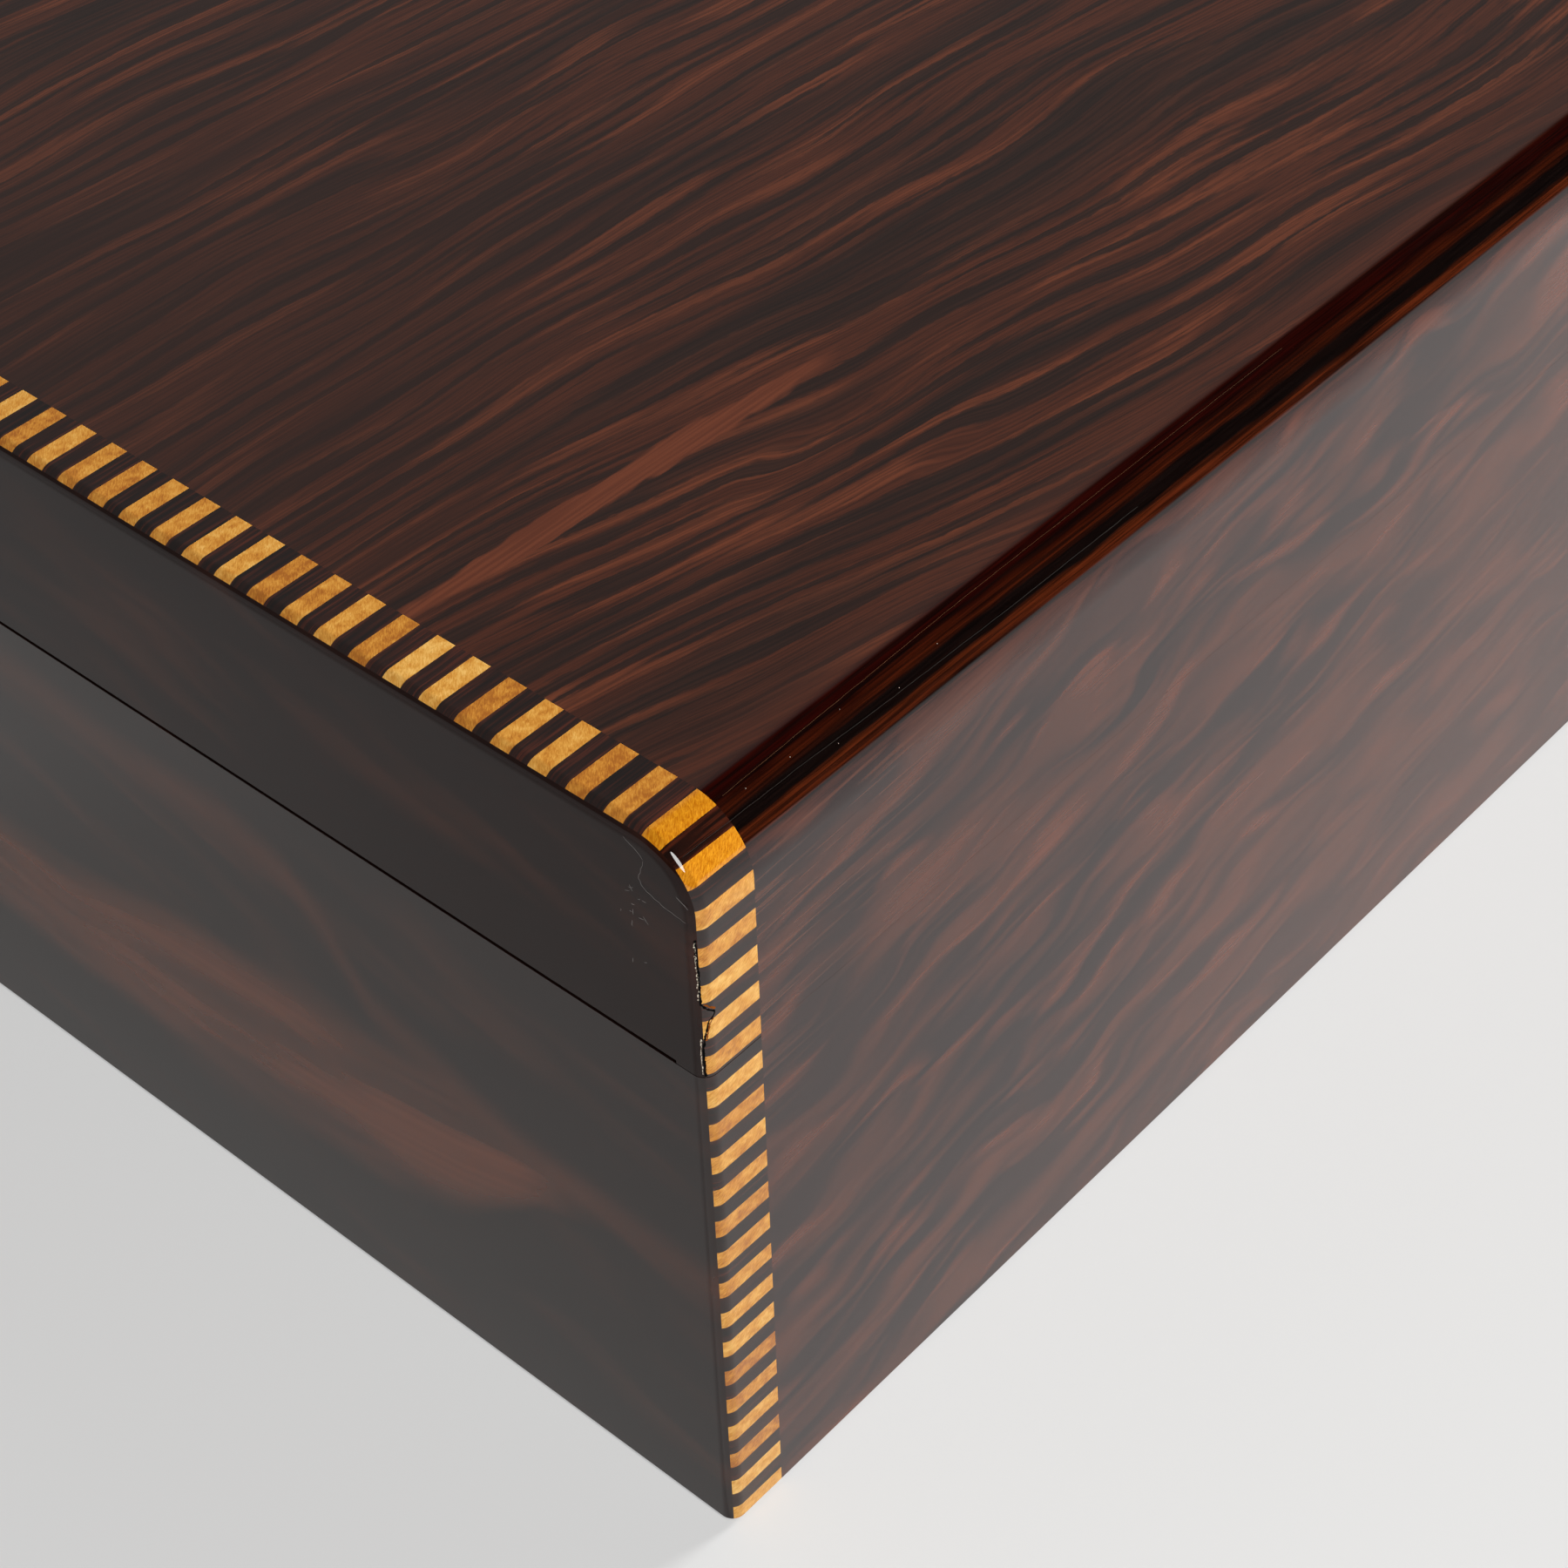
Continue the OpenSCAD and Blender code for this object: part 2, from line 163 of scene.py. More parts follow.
class Value:
    """A shader socket that is worked with like a number: each operator adds its Math node."""

    def __init__(self, finish, socket):
        self.finish = finish
        self.socket = socket

    def __add__(self, other):
        return self.finish.math("ADD", self, other)

    def __radd__(self, other):
        return self.finish.math("ADD", other, self)

    def __sub__(self, other):
        return self.finish.math("SUBTRACT", self, other)

    def __rsub__(self, other):
        return self.finish.math("SUBTRACT", other, self)

    def __mul__(self, other):
        return self.finish.math("MULTIPLY", self, other)

    def __rmul__(self, other):
        return self.finish.math("MULTIPLY", other, self)

    def __truediv__(self, other):
        return self.finish.math("DIVIDE", self, other)


class Finish:
    """The nodes of one material, or of the world. What they make up is kept in made."""

    def __init__(self, name, world=False):
        self.made = (bpy.data.worlds if world else bpy.data.materials).new(name)
        self.made.use_nodes = True
        self.tree = self.made.node_tree
        self.tree.nodes.clear()

    def node(self, kind, settings, inputs, output=0):
        """One node: its settings first, then its inputs by name or number. Gives back one output."""
        made = self.tree.nodes.new("ShaderNode" + kind)
        for name, value in settings.items():
            if name == "stops":
                self.set_stops(made.color_ramp, value)
            else:
                setattr(made, name, value)
        for name, value in inputs.items():
            if isinstance(value, Value):
                self.tree.links.new(value.socket, made.inputs[name])
            else:
                made.inputs[name].default_value = value
        return Value(self, made.outputs[output]) if made.outputs else made

    def set_stops(self, ramp, stops):
        """Fills a ramp with (place, colour) pairs."""
        while len(ramp.elements) < len(stops):
            ramp.elements.new(1.0)
        for element, (place, colour) in zip(ramp.elements, stops):
            element.position = place
            element.color = (*colour, 1)

    def math(self, operation, a, b=0.0):
        """One step of arithmetic on two numbers."""
        return self.node("Math", {"operation": operation}, {0: a, 1: b})

    def size_of(self, value):
        """The number without its sign."""
        return self.math("ABSOLUTE", value)

    def vector(self, x, y, z=0.0):
        """A vector from three numbers."""
        return self.node("CombineXYZ", {}, {"X": x, "Y": y, "Z": z})

    def parts(self, vector):
        """The three numbers of a vector."""
        first = self.node("SeparateXYZ", {}, {"Vector": vector})
        outputs = first.socket.node.outputs
        return [Value(self, outputs[i]) for i in range(3)]

    def place(self):
        """Object coordinates, in metres."""
        return self.parts(self.node("TexCoord", {}, {}, "Object"))

    def sheet(self):
        """Distance along the grain and across it, in millimetres, from the piece's own map."""
        along, across, _ = self.parts(self.node("UVMap", {"uv_map": "grain"}, {}))
        return along / MM, across / MM

    def tone(self):
        """The tone from 0 to 1 that is kept on the mesh, one for each rung."""
        return self.node("Attribute", {"attribute_name": "tone"}, {}, "Fac")

    def noise(self, x, y, z=0.0, detail=2.0, rough=0.5, twist=0.0):
        """Smooth noise from 0 to 1, one cell per unit of x, y and z. Where the pattern is flat, z
        only picks one of many like it."""
        inputs = {"Vector": self.vector(x, y, z), "Scale": 1.0, "Detail": detail,
                  "Roughness": rough, "Distortion": twist}
        return self.node("TexNoise", {}, inputs)

    def sway(self, x, y, pick, width, detail=1.0, rough=0.5):
        """Smooth noise to both sides of 0, width from end to end."""
        return (self.noise(x, y, pick, detail, rough) - 0.5) * width

    def ramp(self, value, stops):
        """Colours from (place, colour) pairs."""
        return self.node("ValToRGB", {"stops": stops}, {"Fac": value})

    def step(self, value, low, high):
        """0 up to low, 1 from high and smooth between, or from 1 down to 0 where low is larger."""
        inputs = {"Value": value, "From Min": low, "From Max": high, "To Min": 0.0, "To Max": 1.0}
        return self.node("MapRange", {"interpolation_type": "SMOOTHSTEP"}, inputs)

    def mix(self, share, a, b, blend="MIX"):
        """Colour a, and colour b by its share."""
        a = a if isinstance(a, Value) else (*a, 1)
        b = b if isinstance(b, Value) else (*b, 1)
        settings = {"data_type": "RGBA", "blend_type": blend}
        return self.node("Mix", settings, {0: share, MIX_A: a, MIX_B: b}, MIX_RESULT)

    def times(self, colour, level):
        """The colour, all of it made lighter or darker by one level."""
        return self.mix(1.0, colour, self.vector(level, level, level), "MULTIPLY")

    def bump(self, height, depth):
        """A normal from a height from 0 to 1 that stands depth metres high."""
        return self.node("Bump", {}, {"Height": height, "Distance": depth, "Strength": 1.0})

    def shade(self, **inputs):
        """The shader itself, its sockets named with underscores for spaces."""
        sockets = {name.replace("_", " "): value for name, value in inputs.items()}
        for name, value in sockets.items():
            if isinstance(value, tuple) and len(value) == 3:
                sockets[name] = (*value, 1)
        shader = self.node("BsdfPrincipled", {}, sockets)
        self.node("OutputMaterial", {}, {"Surface": shader})
        return self.made


# -------- the lacquered veneers

# Patterns on the veneers are worked out in millimetres: x along the box, y along the path, s the
# same without its sign, and on the end faces y across and z up. The end faces' lower index of
# refraction makes their reflection weaker, which stands in for the darker surroundings that they
# mirror: painted shade on the reflection. The lacquer's ripple is RIPPLE high.

LACQUER_ROUGH = 0.03
LACQUER_INDEX = 1.5
# Lowered indexes of the end faces: painted shade on their reflection, strongest on the lid's ends
LID_END_INDEX = 1.27
BASE_END_INDEX = 1.45
RIPPLE = 0.002 * MM

EBONY_BLACK = (0.0140, 0.0056, 0.0036)
EBONY_BROWN = (0.0630, 0.0145, 0.0054)
EBONY_LIGHT = (0.1350, 0.0330, 0.0120)

# Where along the path the lid's figure turns into the edge's, and that into the sides'
LID_TO_EDGE = (116.0, 117.5)
EDGE_TO_SIDE = (125.3, 127.5)

# The lid's one large streak and its knot: their middles, half their length and width, and how they
# slope. The figure bends round the knot within KNOT_REACH.
BIG_STREAK = (-136.0, 72.0)
BIG_STREAK_HALF = (37, 2.3)
BIG_STREAK_SLOPE = 0.06
BIG_STREAK_DARK = (0.118, 0.027, 0.0100)
BIG_STREAK_LIGHT = (0.165, 0.040, 0.0150)
KNOT = (-110.3, 90.9)
KNOT_HALF = (2.2, 1.0)
KNOT_REACH = (16, 7)
KNOT_SLOPE = 0.1

# The darker middle of the lid near its left end, and the lid beside the rounded edge
LID_QUIET = (0.026, 0.0100, 0.0070)
LID_RIM = (0.078, 0.0220, 0.0120)

# The long sides: clouds, flames, the upper left corner, the paler middle and the feathery lines
SIDE_DARK = (0.017, 0.0066, 0.0072)
SIDE_BROWN = (0.094, 0.0255, 0.0135)
SIDE_FLAME = (0.138, 0.0350, 0.0175)
SIDE_CORNER = (0.024, 0.0095, 0.0075)
SIDE_PALE = (0.125, 0.0370, 0.0230)
SIDE_FEATHER = (0.150, 0.0480, 0.0260)

# The bands over the rounded edge, from EDGE_FIRST on, as shares of EDGE_SPAN
EDGE_FIRST = 116
EDGE_SPAN = 12
EDGE_BANDS = [
    (0.00, (0.034, 0.0066, 0.0034)), (0.10, (0.018, 0.0014, 0.0006)), (0.25, (0.015, 0.0010, 0.0005)),
    (0.28, (0.006, 0.0008, 0.0005)), (0.33, (0.026, 0.0035, 0.0010)), (0.43, (0.036, 0.0056, 0.0015)),
    (0.48, (0.0040, 0.0019, 0.0016)), (0.62, (0.0036, 0.0018, 0.0015)),
    (0.67, (0.066, 0.0115, 0.0030)), (0.76, (0.052, 0.0090, 0.0028)),
    (0.80, (0.008, 0.0032, 0.0024)), (0.86, (0.056, 0.0160, 0.0095)), (1.00, (0.056, 0.0170, 0.0100)),
]
EDGE_FIBRE_DARK = (0.0045, 0.0016, 0.0012)

# The end faces' flame and the thin tail that falls into it: (y, height) or (y, half width) pairs.
# They reach to END_HALF on both sides and never over CURVE_TOP. Between FLAME_ENDS the flame begins.
END_HALF = 125
CURVE_TOP = 100
FLAME_MIDDLE = [(-125, 52), (-106, 50.5), (-93, 47), (-78, 42), (-60, 38.5), (-42, 37), (-20, 36),
                (5, 33), (60, 38), (125, 47)]
FLAME_WIDTH = [(-125, 4), (-106, 5), (-93, 6), (-78, 14), (-60, 18), (-42, 18), (-20, 15), (5, 13),
               (125, 10)]
TAIL_MIDDLE = [(-125, 50), (-90, 52), (-75, 56.5), (-64, 60), (-57, 68.5), (-50, 75.5), (-39, 79.5),
               (-20, 78), (20, 82), (125, 90)]
FLAME_ENDS = (-106.0, -88.0)
END_BLACK = (0.0130, 0.0048, 0.0036)
END_FAINT = (0.058, 0.0160, 0.0075)
END_TAIL = (0.120, 0.0300, 0.0120)
END_FLAME = (0.165, 0.0440, 0.0180)


def streaks(f, along, across, seed):
    """The figure of striped ebony: a brown ground, light streaks that taper like lenses, black
    streaks, broad dark ones, and short dark pores. Short fibres tear the streaks' borders, and fine
    lines make all of it a little lighter or darker."""
    torn = across + f.sway(along / 3, across / 0.5, seed + 37, 0.9, 2.0, 0.6)
    light = f.step(f.noise(along / 50, torn / 3.0, seed, 1.5, 0.45), 0.52, 0.62)
    black = f.step(f.noise(along / 65, torn / 2.1, seed + 9, 1.5, 0.5), 0.49, 0.59)
    broad = f.step(f.noise(along / 110, across / 9.0, seed + 17, 1.0), 0.50, 0.66)
    lines = f.noise(along / 30, across / 0.36, seed + 23, 1.0, 0.6)
    pores = f.step(f.noise(along / 5, across / 0.34, seed + 31, 1.0), 0.56, 0.72)
    wood = f.mix(light * 0.75, EBONY_BROWN, EBONY_LIGHT)
    wood = f.mix(black * 0.85, wood, EBONY_BLACK)
    wood = f.mix(broad * 0.7, wood, EBONY_BLACK)
    wood = f.mix(pores * 0.45, wood, EBONY_BLACK)
    return f.times(wood, f.step(lines, 0.30, 0.70) * 0.6 + 0.66)


def clouds(f, x, y, seed):
    """The quieter figure of the long sides: soft brown clouds that climb slowly to the right and
    finer flames inside them. It is darker near the upper left corner, with faint feathery lines
    there, and a little paler low down in the middle."""
    rise = y + x * 0.14 + f.math("TANH", (x + 125) / 40) * 5 + f.sway(x / 30, y / 14, seed + 1, 16)
    soft = f.step(f.noise(x / 48, rise / 8.0, seed, 2.0, 0.5, 0.4), 0.40, 0.70)
    flames = f.step(f.noise(x / 20, rise / 4.6, seed + 3, 1.0, 0.5, 0.3), 0.50, 0.76)
    hairs = f.noise(x / 16, (y + x * 0.1) / 0.34, seed + 5, 1.0)
    feather = f.step(f.noise(x / 20, (y + x * 0.05) / 0.8, seed + 7, 2.0), 0.52, 0.68)
    corner = f.step(x + y * 0.3, -60.0, -120.0)
    pale = f.step(x + y, 70.0, 230.0) * f.step(x, 90.0, 10.0)
    feathered = f.step(x + y, 20.0, -30.0)
    wood = f.mix(soft, SIDE_DARK, SIDE_BROWN)
    wood = f.mix(flames * 0.85, wood, SIDE_FLAME)
    wood = f.mix(corner * 0.26, wood, SIDE_CORNER)
    wood = f.mix(pale * 0.35, wood, SIDE_PALE)
    wood = f.mix(feather * feathered * 0.5, wood, SIDE_FEATHER)
    return f.times(wood, f.step(hairs, 0.30, 0.75) * -0.35 + 1.12)


def lens(f, x, y, middle, half, slope, soft):
    """1 inside a long lens shape, 0 outside, with soft edges: the sum of the squares of x and y from
    its middle, in half lengths and half widths, against 1. It slopes by slope."""
    along = (x - middle[0]) / half[0]
    across = (y - middle[1] - (x - middle[0]) * slope) / half[1]
    return f.step(along * along + across * across, 1.0 + soft, 1.0 - soft)


def lid_figure(f, x, y, s):
    """The flat of the lid: the figure slants across it and turns parallel to the rounded edge. One
    large light streak and one small knot lie near the left end, and the middle is darker there."""
    drift = f.sway(x / 75, y / 40, 3.0, 12) + f.sway(x / 26, y / 9, 5.0, 1.2)
    bend = f.math("TANH", (x + 140) / 110) * 110
    slant = bend * (f.step(y, 30.0, 112.0) * 0.18 + 0.05)
    round_knot = lens(f, x, y, KNOT, KNOT_REACH, KNOT_SLOPE, 0.9) * (y - KNOT[1]) * 0.3
    wood = streaks(f, x, y - slant + drift + round_knot, 2.0)
    quiet = f.step(s, 85.0, 20.0) * f.step(x, -40.0, -150.0)
    wood = f.mix(quiet * 0.55, wood, LID_QUIET)
    ragged = f.sway(x / 12, y / 3, 8.0, 2.6) + f.sway(x / 4, y / 1.2, 9.0, 0.9)
    streak = lens(f, x, y + ragged, BIG_STREAK, BIG_STREAK_HALF, BIG_STREAK_SLOPE, 0.22)
    lines = f.step(f.noise(x / 20, y / 0.5, 14.0, 1.0), 0.35, 0.65)
    wood = f.mix(streak * 0.9, wood, f.mix(lines, BIG_STREAK_DARK, BIG_STREAK_LIGHT))
    wood = f.mix(lens(f, x, y, KNOT, KNOT_HALF, KNOT_SLOPE, 0.6) * 0.9, wood, EBONY_BLACK)
    return f.mix(f.step(s, 110.0, 115.0) * 0.25, wood, LID_RIM)


def edge_figure(f, x, y, s):
    """The rounded edge, where the grain runs straight: dark red, brown, a black line, orange brown
    and black again, in bands along it with wavering borders, all of it full of fine fibres."""
    waver = f.sway(x / 38, 7.0, 12.0, 1.4) + f.sway(x / 8, y / 2, 13.0, 0.7)
    wood = f.ramp((s + waver - EDGE_FIRST) / EDGE_SPAN, EDGE_BANDS)
    dark = f.step(f.noise(x / 40, y / 0.65, 35.0, 1.5), 0.48, 0.60)
    wood = f.mix(dark * 0.62, wood, EDGE_FIBRE_DARK)
    fibres = f.noise((x + y * 4) / 13, y / 0.26, 33.0, 2.0, 0.6)
    return f.times(wood, f.step(fibres, 0.25, 0.75) * 1.1 + 0.45)


def striped_ebony():
    """Lid and long sides, under clear gloss lacquer: three figures that run into one another over
    the rounded edge."""
    f = Finish("striped_ebony")
    x, y = f.sheet()
    s = f.size_of(y)
    wood = f.mix(f.step(s, *LID_TO_EDGE), lid_figure(f, x, y, s), edge_figure(f, x, y, s))
    wood = f.mix(f.step(s, *EDGE_TO_SIDE), wood, clouds(f, x, y, 51.0))
    ripple = f.noise(x / 3.5, y / 3.5, 1.0, 1.0)
    return f.shade(Base_Color=wood, Roughness=LACQUER_ROUGH, IOR=LACQUER_INDEX,
                   Normal=f.bump(ripple, RIPPLE))


def end_curve(f, y, pairs):
    """A curve over the end face: the value at y, on straight lines between (y, value) pairs."""
    stops = [((at + END_HALF) / (2 * END_HALF), (value / CURVE_TOP,) * 3) for at, value in pairs]
    return f.parts(f.ramp((y + END_HALF) / (2 * END_HALF), stops))[0] * CURVE_TOP


def end_ebony(name, index):
    """The end faces: nearly black, with faint broad streaks, one wide brown flame that closes to a
    point towards the front, and a thin one that falls into it from above."""
    f = Finish(name)
    y, z = f.sheet()
    warp = f.sway(y / 34, z / 24, 2.0, 8)
    middle = end_curve(f, y, FLAME_MIDDLE)
    off_flame = (z + warp * 0.5 - middle) / end_curve(f, y, FLAME_WIDTH)
    off_tail = z + warp * 0.4 - end_curve(f, y, TAIL_MIDDLE)
    grain = f.noise(y / 38, (z - middle) / 1.8, 9.0, 1.0, 0.5)
    veins = f.step(f.noise(y / 50, (z + warp - middle) / 7.5, 4.0, 2.0), 0.34, 0.62)
    flame = f.step(off_flame * off_flame + grain * 0.16, 1.2, 0.12) * f.step(y, *FLAME_ENDS)
    tail = f.step(f.size_of(off_tail) + grain * 4, 8.0, 1.5)
    faint = f.step(f.noise(y / 55, (z - y * 0.25 + warp) / 9, 6.0, 2.5), 0.48, 0.72)
    wood = f.mix(faint * 0.6, END_BLACK, END_FAINT)
    wood = f.mix(tail * 0.38, wood, END_TAIL)
    wood = f.mix(flame * (veins * 0.55 + 0.30), wood, END_FLAME)
    wood = f.times(wood, f.step(grain, 0.25, 0.75) * 0.22 + 0.89)
    return f.shade(Base_Color=wood, Roughness=LACQUER_ROUGH, IOR=index)


# -------- the inlay

# How far a rung's tone shifts its pattern, so that no two rungs look alike
DARK_SHIFT = 313
LIGHT_SHIFT = 977

# Where the worn glue fades, by the distance from the middle of a light rung in millimetres
GLUE_FADE = (1.95, 1.50)

RUNG_EBONY_STOPS = [(0.38, (0.0080, 0.0042, 0.0035)), (0.53, (0.020, 0.0062, 0.0040)),
                    (0.70, (0.070, 0.0145, 0.0066))]
RUNG_GLUE = (0.075, 0.020, 0.012)
BOXWOOD_STOPS = [(0.30, (0.40, 0.125, 0.010)), (0.43, (0.60, 0.235, 0.024)),
                 (0.55, (0.74, 0.350, 0.055)), (0.70, (0.90, 0.530, 0.140))]
BOXWOOD_FLECK = (0.34, 0.110, 0.012)
ROUND_DARK = (0.47, 0.130, 0.0015)
ROUND_LIGHT = (0.84, 0.345, 0.012)


def ebony_inlay():
    """The dark rungs: black, with fine red streaks along each rung that differ from rung to rung,
    and brown worn glue at their borders."""
    f = Finish("ebony_inlay")
    x, y = f.sheet()
    tone = f.tone()
    shift = tone * DARK_SHIFT
    lines = f.noise(x / 14 + shift, (y + shift) / 0.55, 4.0, 2.5, 0.6)
    wood = f.ramp(lines + (tone - 0.5) * 0.1, RUNG_EBONY_STOPS)
    border = f.step(f.math("PINGPONG", y, PITCH / MM / 2), *GLUE_FADE)
    worn = f.step(f.noise(x / 3 + shift, y / 3, 6.0, 1.0), 0.45, 0.65)
    wood = f.mix(border * worn * 0.6, wood, RUNG_GLUE)
    return f.shade(Base_Color=wood, Roughness=LACQUER_ROUGH, IOR=LACQUER_INDEX)


def boxwood():
    """Light inlay rungs under lacquer: golden, each rung its own tone, with fine bright figure
    across it and darker flecks along it. The tone deepens over the rounded corner."""
    f = Finish("boxwood_inlay")
    x, y = f.sheet()
    tone = f.tone()
    shift = tone * LIGHT_SHIFT
    silk = f.noise((x + y) / 0.28 + shift, (y - x * 0.6) / 0.9 + shift, 0.0, 2.0, 0.6, 0.4)
    curl = f.noise(x / 2.2 + shift, y / 1.7 - shift, 4.0, 1.5, 0.5, 0.4)
    flecks = f.step(f.noise(x / 0.45 + shift, y / 0.2, 9.0, 1.0), 0.64, 0.74)
    wood = f.ramp(silk * 0.50 + curl * 0.46 + (tone - 0.5) * 0.22, BOXWOOD_STOPS)
    s = f.size_of(y)
    deep = f.step(s, 115.5, 118.0) * f.step(s, 128.6, 126.6)
    wood = f.mix(deep * 0.85, wood, f.mix(f.step(silk, 0.2, 0.8), ROUND_DARK, ROUND_LIGHT))
    wood = f.mix(flecks * 0.4, wood, BOXWOOD_FLECK)
    return f.shade(Base_Color=wood, Roughness=LACQUER_ROUGH, IOR=LACQUER_INDEX)


# -------- the other finishes

CEDAR_STOPS = [(0.34, (0.20, 0.070, 0.030)), (0.50, (0.36, 0.150, 0.066)),
               (0.66, (0.50, 0.240, 0.115))]
SUEDE_DARK = (0.085, 0.013, 0.016)
SUEDE_LIGHT = (0.150, 0.026, 0.028)
SUEDE_TIPS = (0.215, 0.050, 0.050)
FELT_DARK = (0.010, 0.010, 0.011)
FELT_LIGHT = (0.034, 0.033, 0.035)
CHIP_DARK = (0.10, 0.045, 0.02)
CHIP_LIGHT = (0.80, 0.72, 0.58)


def plain_wood(name, dark, light, rough):
    """Bare or stained wood: rings stretched along the board's length, fine pores, soft sheen."""
    f = Finish(name)
    x, y, z = f.place()
    rings = f.noise(x / (30 * MM), y / (2.2 * MM), z / (2.2 * MM), 3.0, 0.6, 0.3)
    pores = f.step(f.noise(x / (2.5 * MM), y / (0.25 * MM), z / (0.25 * MM), 1.0), 0.58, 0.70)
    wood = f.mix(f.step(rings, 0.35, 0.65), dark, light)
    wood = f.mix(pores * 0.35, wood, dark)
    height = rings * 0.6 - pores * 0.4
    return f.shade(Base_Color=wood, Roughness=rough + rings * 0.12, Normal=f.bump(height, 0.05 * MM))


def cedar():
    """Bare cedar liners, sanded, with the grain along each liner from its own map."""
    f = Finish("cedar_liner")
    x, y = f.sheet()
    wave = f.sway(x / 60, y / 22, 1.0, 7, 2.0)
    rings = f.noise(x / 110, (y + wave) / 1.7, 2.0, 3.0, 0.6)
    hairs = f.noise(x / 9, y / 0.22, 3.0, 1.0)
    grain = rings * 0.72 + hairs * 0.28
    return f.shade(Base_Color=f.ramp(grain, CEDAR_STOPS), Roughness=0.52 + hairs * 0.15,
                   Normal=f.bump(grain, 0.06 * MM))


def suede():
    """Short napped suede: brushed clouds of lighter and darker nap over fine fibre grain."""
    f = Finish("suede_pad")
    x, y, z = f.place()
    nap = f.noise(x / (48 * MM), y / (26 * MM), 1.0, 3.0, 0.55, 0.3)
    fibre = f.noise(x / (0.45 * MM), y / (0.45 * MM), z / (0.45 * MM), 2.0, 0.7)
    colour = f.mix(f.step(nap, 0.35, 0.65), SUEDE_DARK, SUEDE_LIGHT)
    colour = f.mix(f.step(fibre, 0.35, 0.75) * 0.5, colour, SUEDE_TIPS)
    return f.shade(Base_Color=colour, Roughness=0.93, Sheen_Weight=0.18, Sheen_Roughness=0.5,
                   Normal=f.bump(fibre, 0.12 * MM))


def felt():
    """Black wool felt, matted fibres."""
    f = Finish("base_felt")
    x, y, z = f.place()
    fibre = f.noise(x / (0.7 * MM), y / (0.7 * MM), z / (0.7 * MM), 4.0, 0.7, 1.5)
    colour = f.mix(f.step(fibre, 0.3, 0.7), FELT_DARK, FELT_LIGHT)
    return f.shade(Base_Color=colour, Roughness=0.97, Normal=f.bump(fibre, 0.2 * MM))


def brass(name, bright, dull, tarnish):
    """Polished brass with fine brushing along the hinge and browner tarnish in patches."""
    f = Finish(name)
    x, y, z = f.place()
    brushed = f.noise(x / (9 * MM), y / (0.12 * MM), z / (0.12 * MM), 2.0)
    patch = f.step(f.noise(x / (7 * MM), y / (6 * MM), z / (6 * MM), 3.0, 0.6), 0.42, 0.72)
    colour = f.mix(patch * tarnish, bright, dull)
    return f.shade(Base_Color=colour, Metallic=1.0, Roughness=0.20 + brushed * 0.14 + patch * 0.12,
                   Normal=f.bump(brushed, 0.008 * MM))


def chipped():
    """Broken lacquer: cream and white specks over brown."""
    f = Finish("chipped_lacquer")
    x, y, z = f.place()
    speck = f.noise(x / (0.2 * MM), y / (0.2 * MM), z / (0.3 * MM), 2.0)
    return f.shade(Base_Color=f.mix(f.step(speck, 0.42, 0.58), CHIP_DARK, CHIP_LIGHT), Roughness=0.6)


def plain(name, colour, rough, shine):
    """One flat colour, for marks thinner than a hair."""
    return Finish(name).shade(Base_Color=colour, Roughness=rough, Specular_IOR_Level=shine)


# -------- surfaces


def path(s):
    """Point (y, z) and outward normal (y, z) of the outer surface at distance s along the path: flat
    to FLAT, a quarter circle of EDGE_R, then straight down."""
    side = np.where(s < 0, 1.0, -1.0)
    far = np.abs(s)
    turn = np.clip((far - FLAT) / EDGE_R, 0, math.pi / 2)
    out = np.minimum(far, FLAT) + EDGE_R * np.sin(turn)
    down = EDGE_R * (1 - np.cos(turn)) + np.maximum(far - FLAT - ARC, 0)
    return side * out, TOP - down, side * np.sin(turn), np.cos(turn)


def arris_drop(d):
    """How far the surface lies below the flat at distance d from the end plane: a quarter circle of
    ARRIS_R, then flat."""
    near = np.clip(ARRIS_R - d, 0, ARRIS_R)
    return ARRIS_R - np.sqrt(ARRIS_R**2 - near**2)


def placed(name, data):
    """A new object in the scene that shows a mesh, a lamp or a camera."""
    made = bpy.data.objects.new(name, data)
    bpy.context.scene.collection.objects.link(made)
    return made


def mesh_piece(name, points, faces, body, finish, node=None, slot=None, grain=None, tone=None,
               smooth=40):
    """A mesh object from an (n, 3) array of points and rows of corner numbers. It rides on body, and
    stands for node where one is given. grain is an (n, 2) map in metres and tone one number for
    each point. Edges sharper than smooth degrees stay sharp."""
    mesh = bpy.data.meshes.new(name)
    mesh.from_pydata(points, [], faces)
    mesh.validate()
    if grain is not None:
        corners = np.zeros(len(mesh.loops), np.int32)
        mesh.loops.foreach_get("vertex_index", corners)
        layer = mesh.uv_layers.new(name="grain")
        layer.data.foreach_set("uv", np.asarray(grain, np.float32)[corners].ravel())
    if tone is not None:
        kept = mesh.attributes.new("tone", "FLOAT", "POINT")
        kept.data.foreach_set("value", np.asarray(tone, np.float32))
    mesh.polygons.foreach_set("use_smooth", np.ones(len(mesh.polygons), bool))
    mesh.set_sharp_from_angle(angle=math.radians(smooth))
    mesh.materials.append(finish)
    piece = placed(name, mesh)
    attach(piece, body)
    if node:
        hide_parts(node)
    return piece


def turn_outwards(piece):
    """Makes every face of a closed mesh point outwards."""
    bpy.context.view_layer.objects.active = piece
    piece.select_set(True)
    bpy.ops.object.mode_set(mode="EDIT")
    bpy.ops.mesh.select_all(action="SELECT")
    bpy.ops.mesh.normals_make_consistent(inside=False)
    bpy.ops.object.mode_set(mode="OBJECT")
    piece.select_set(False)


def facing(points, faces):
    """The faces, turned round if the volume that they enclose comes out negative."""
    a, b, c, d = (points[faces[:, i]] for i in range(4))
    volume = np.einsum("ij,ij->", a, np.cross(b, c)) + np.einsum("ij,ij->", a, np.cross(c, d))
    return faces if volume > 0 else faces[:, ::-1]


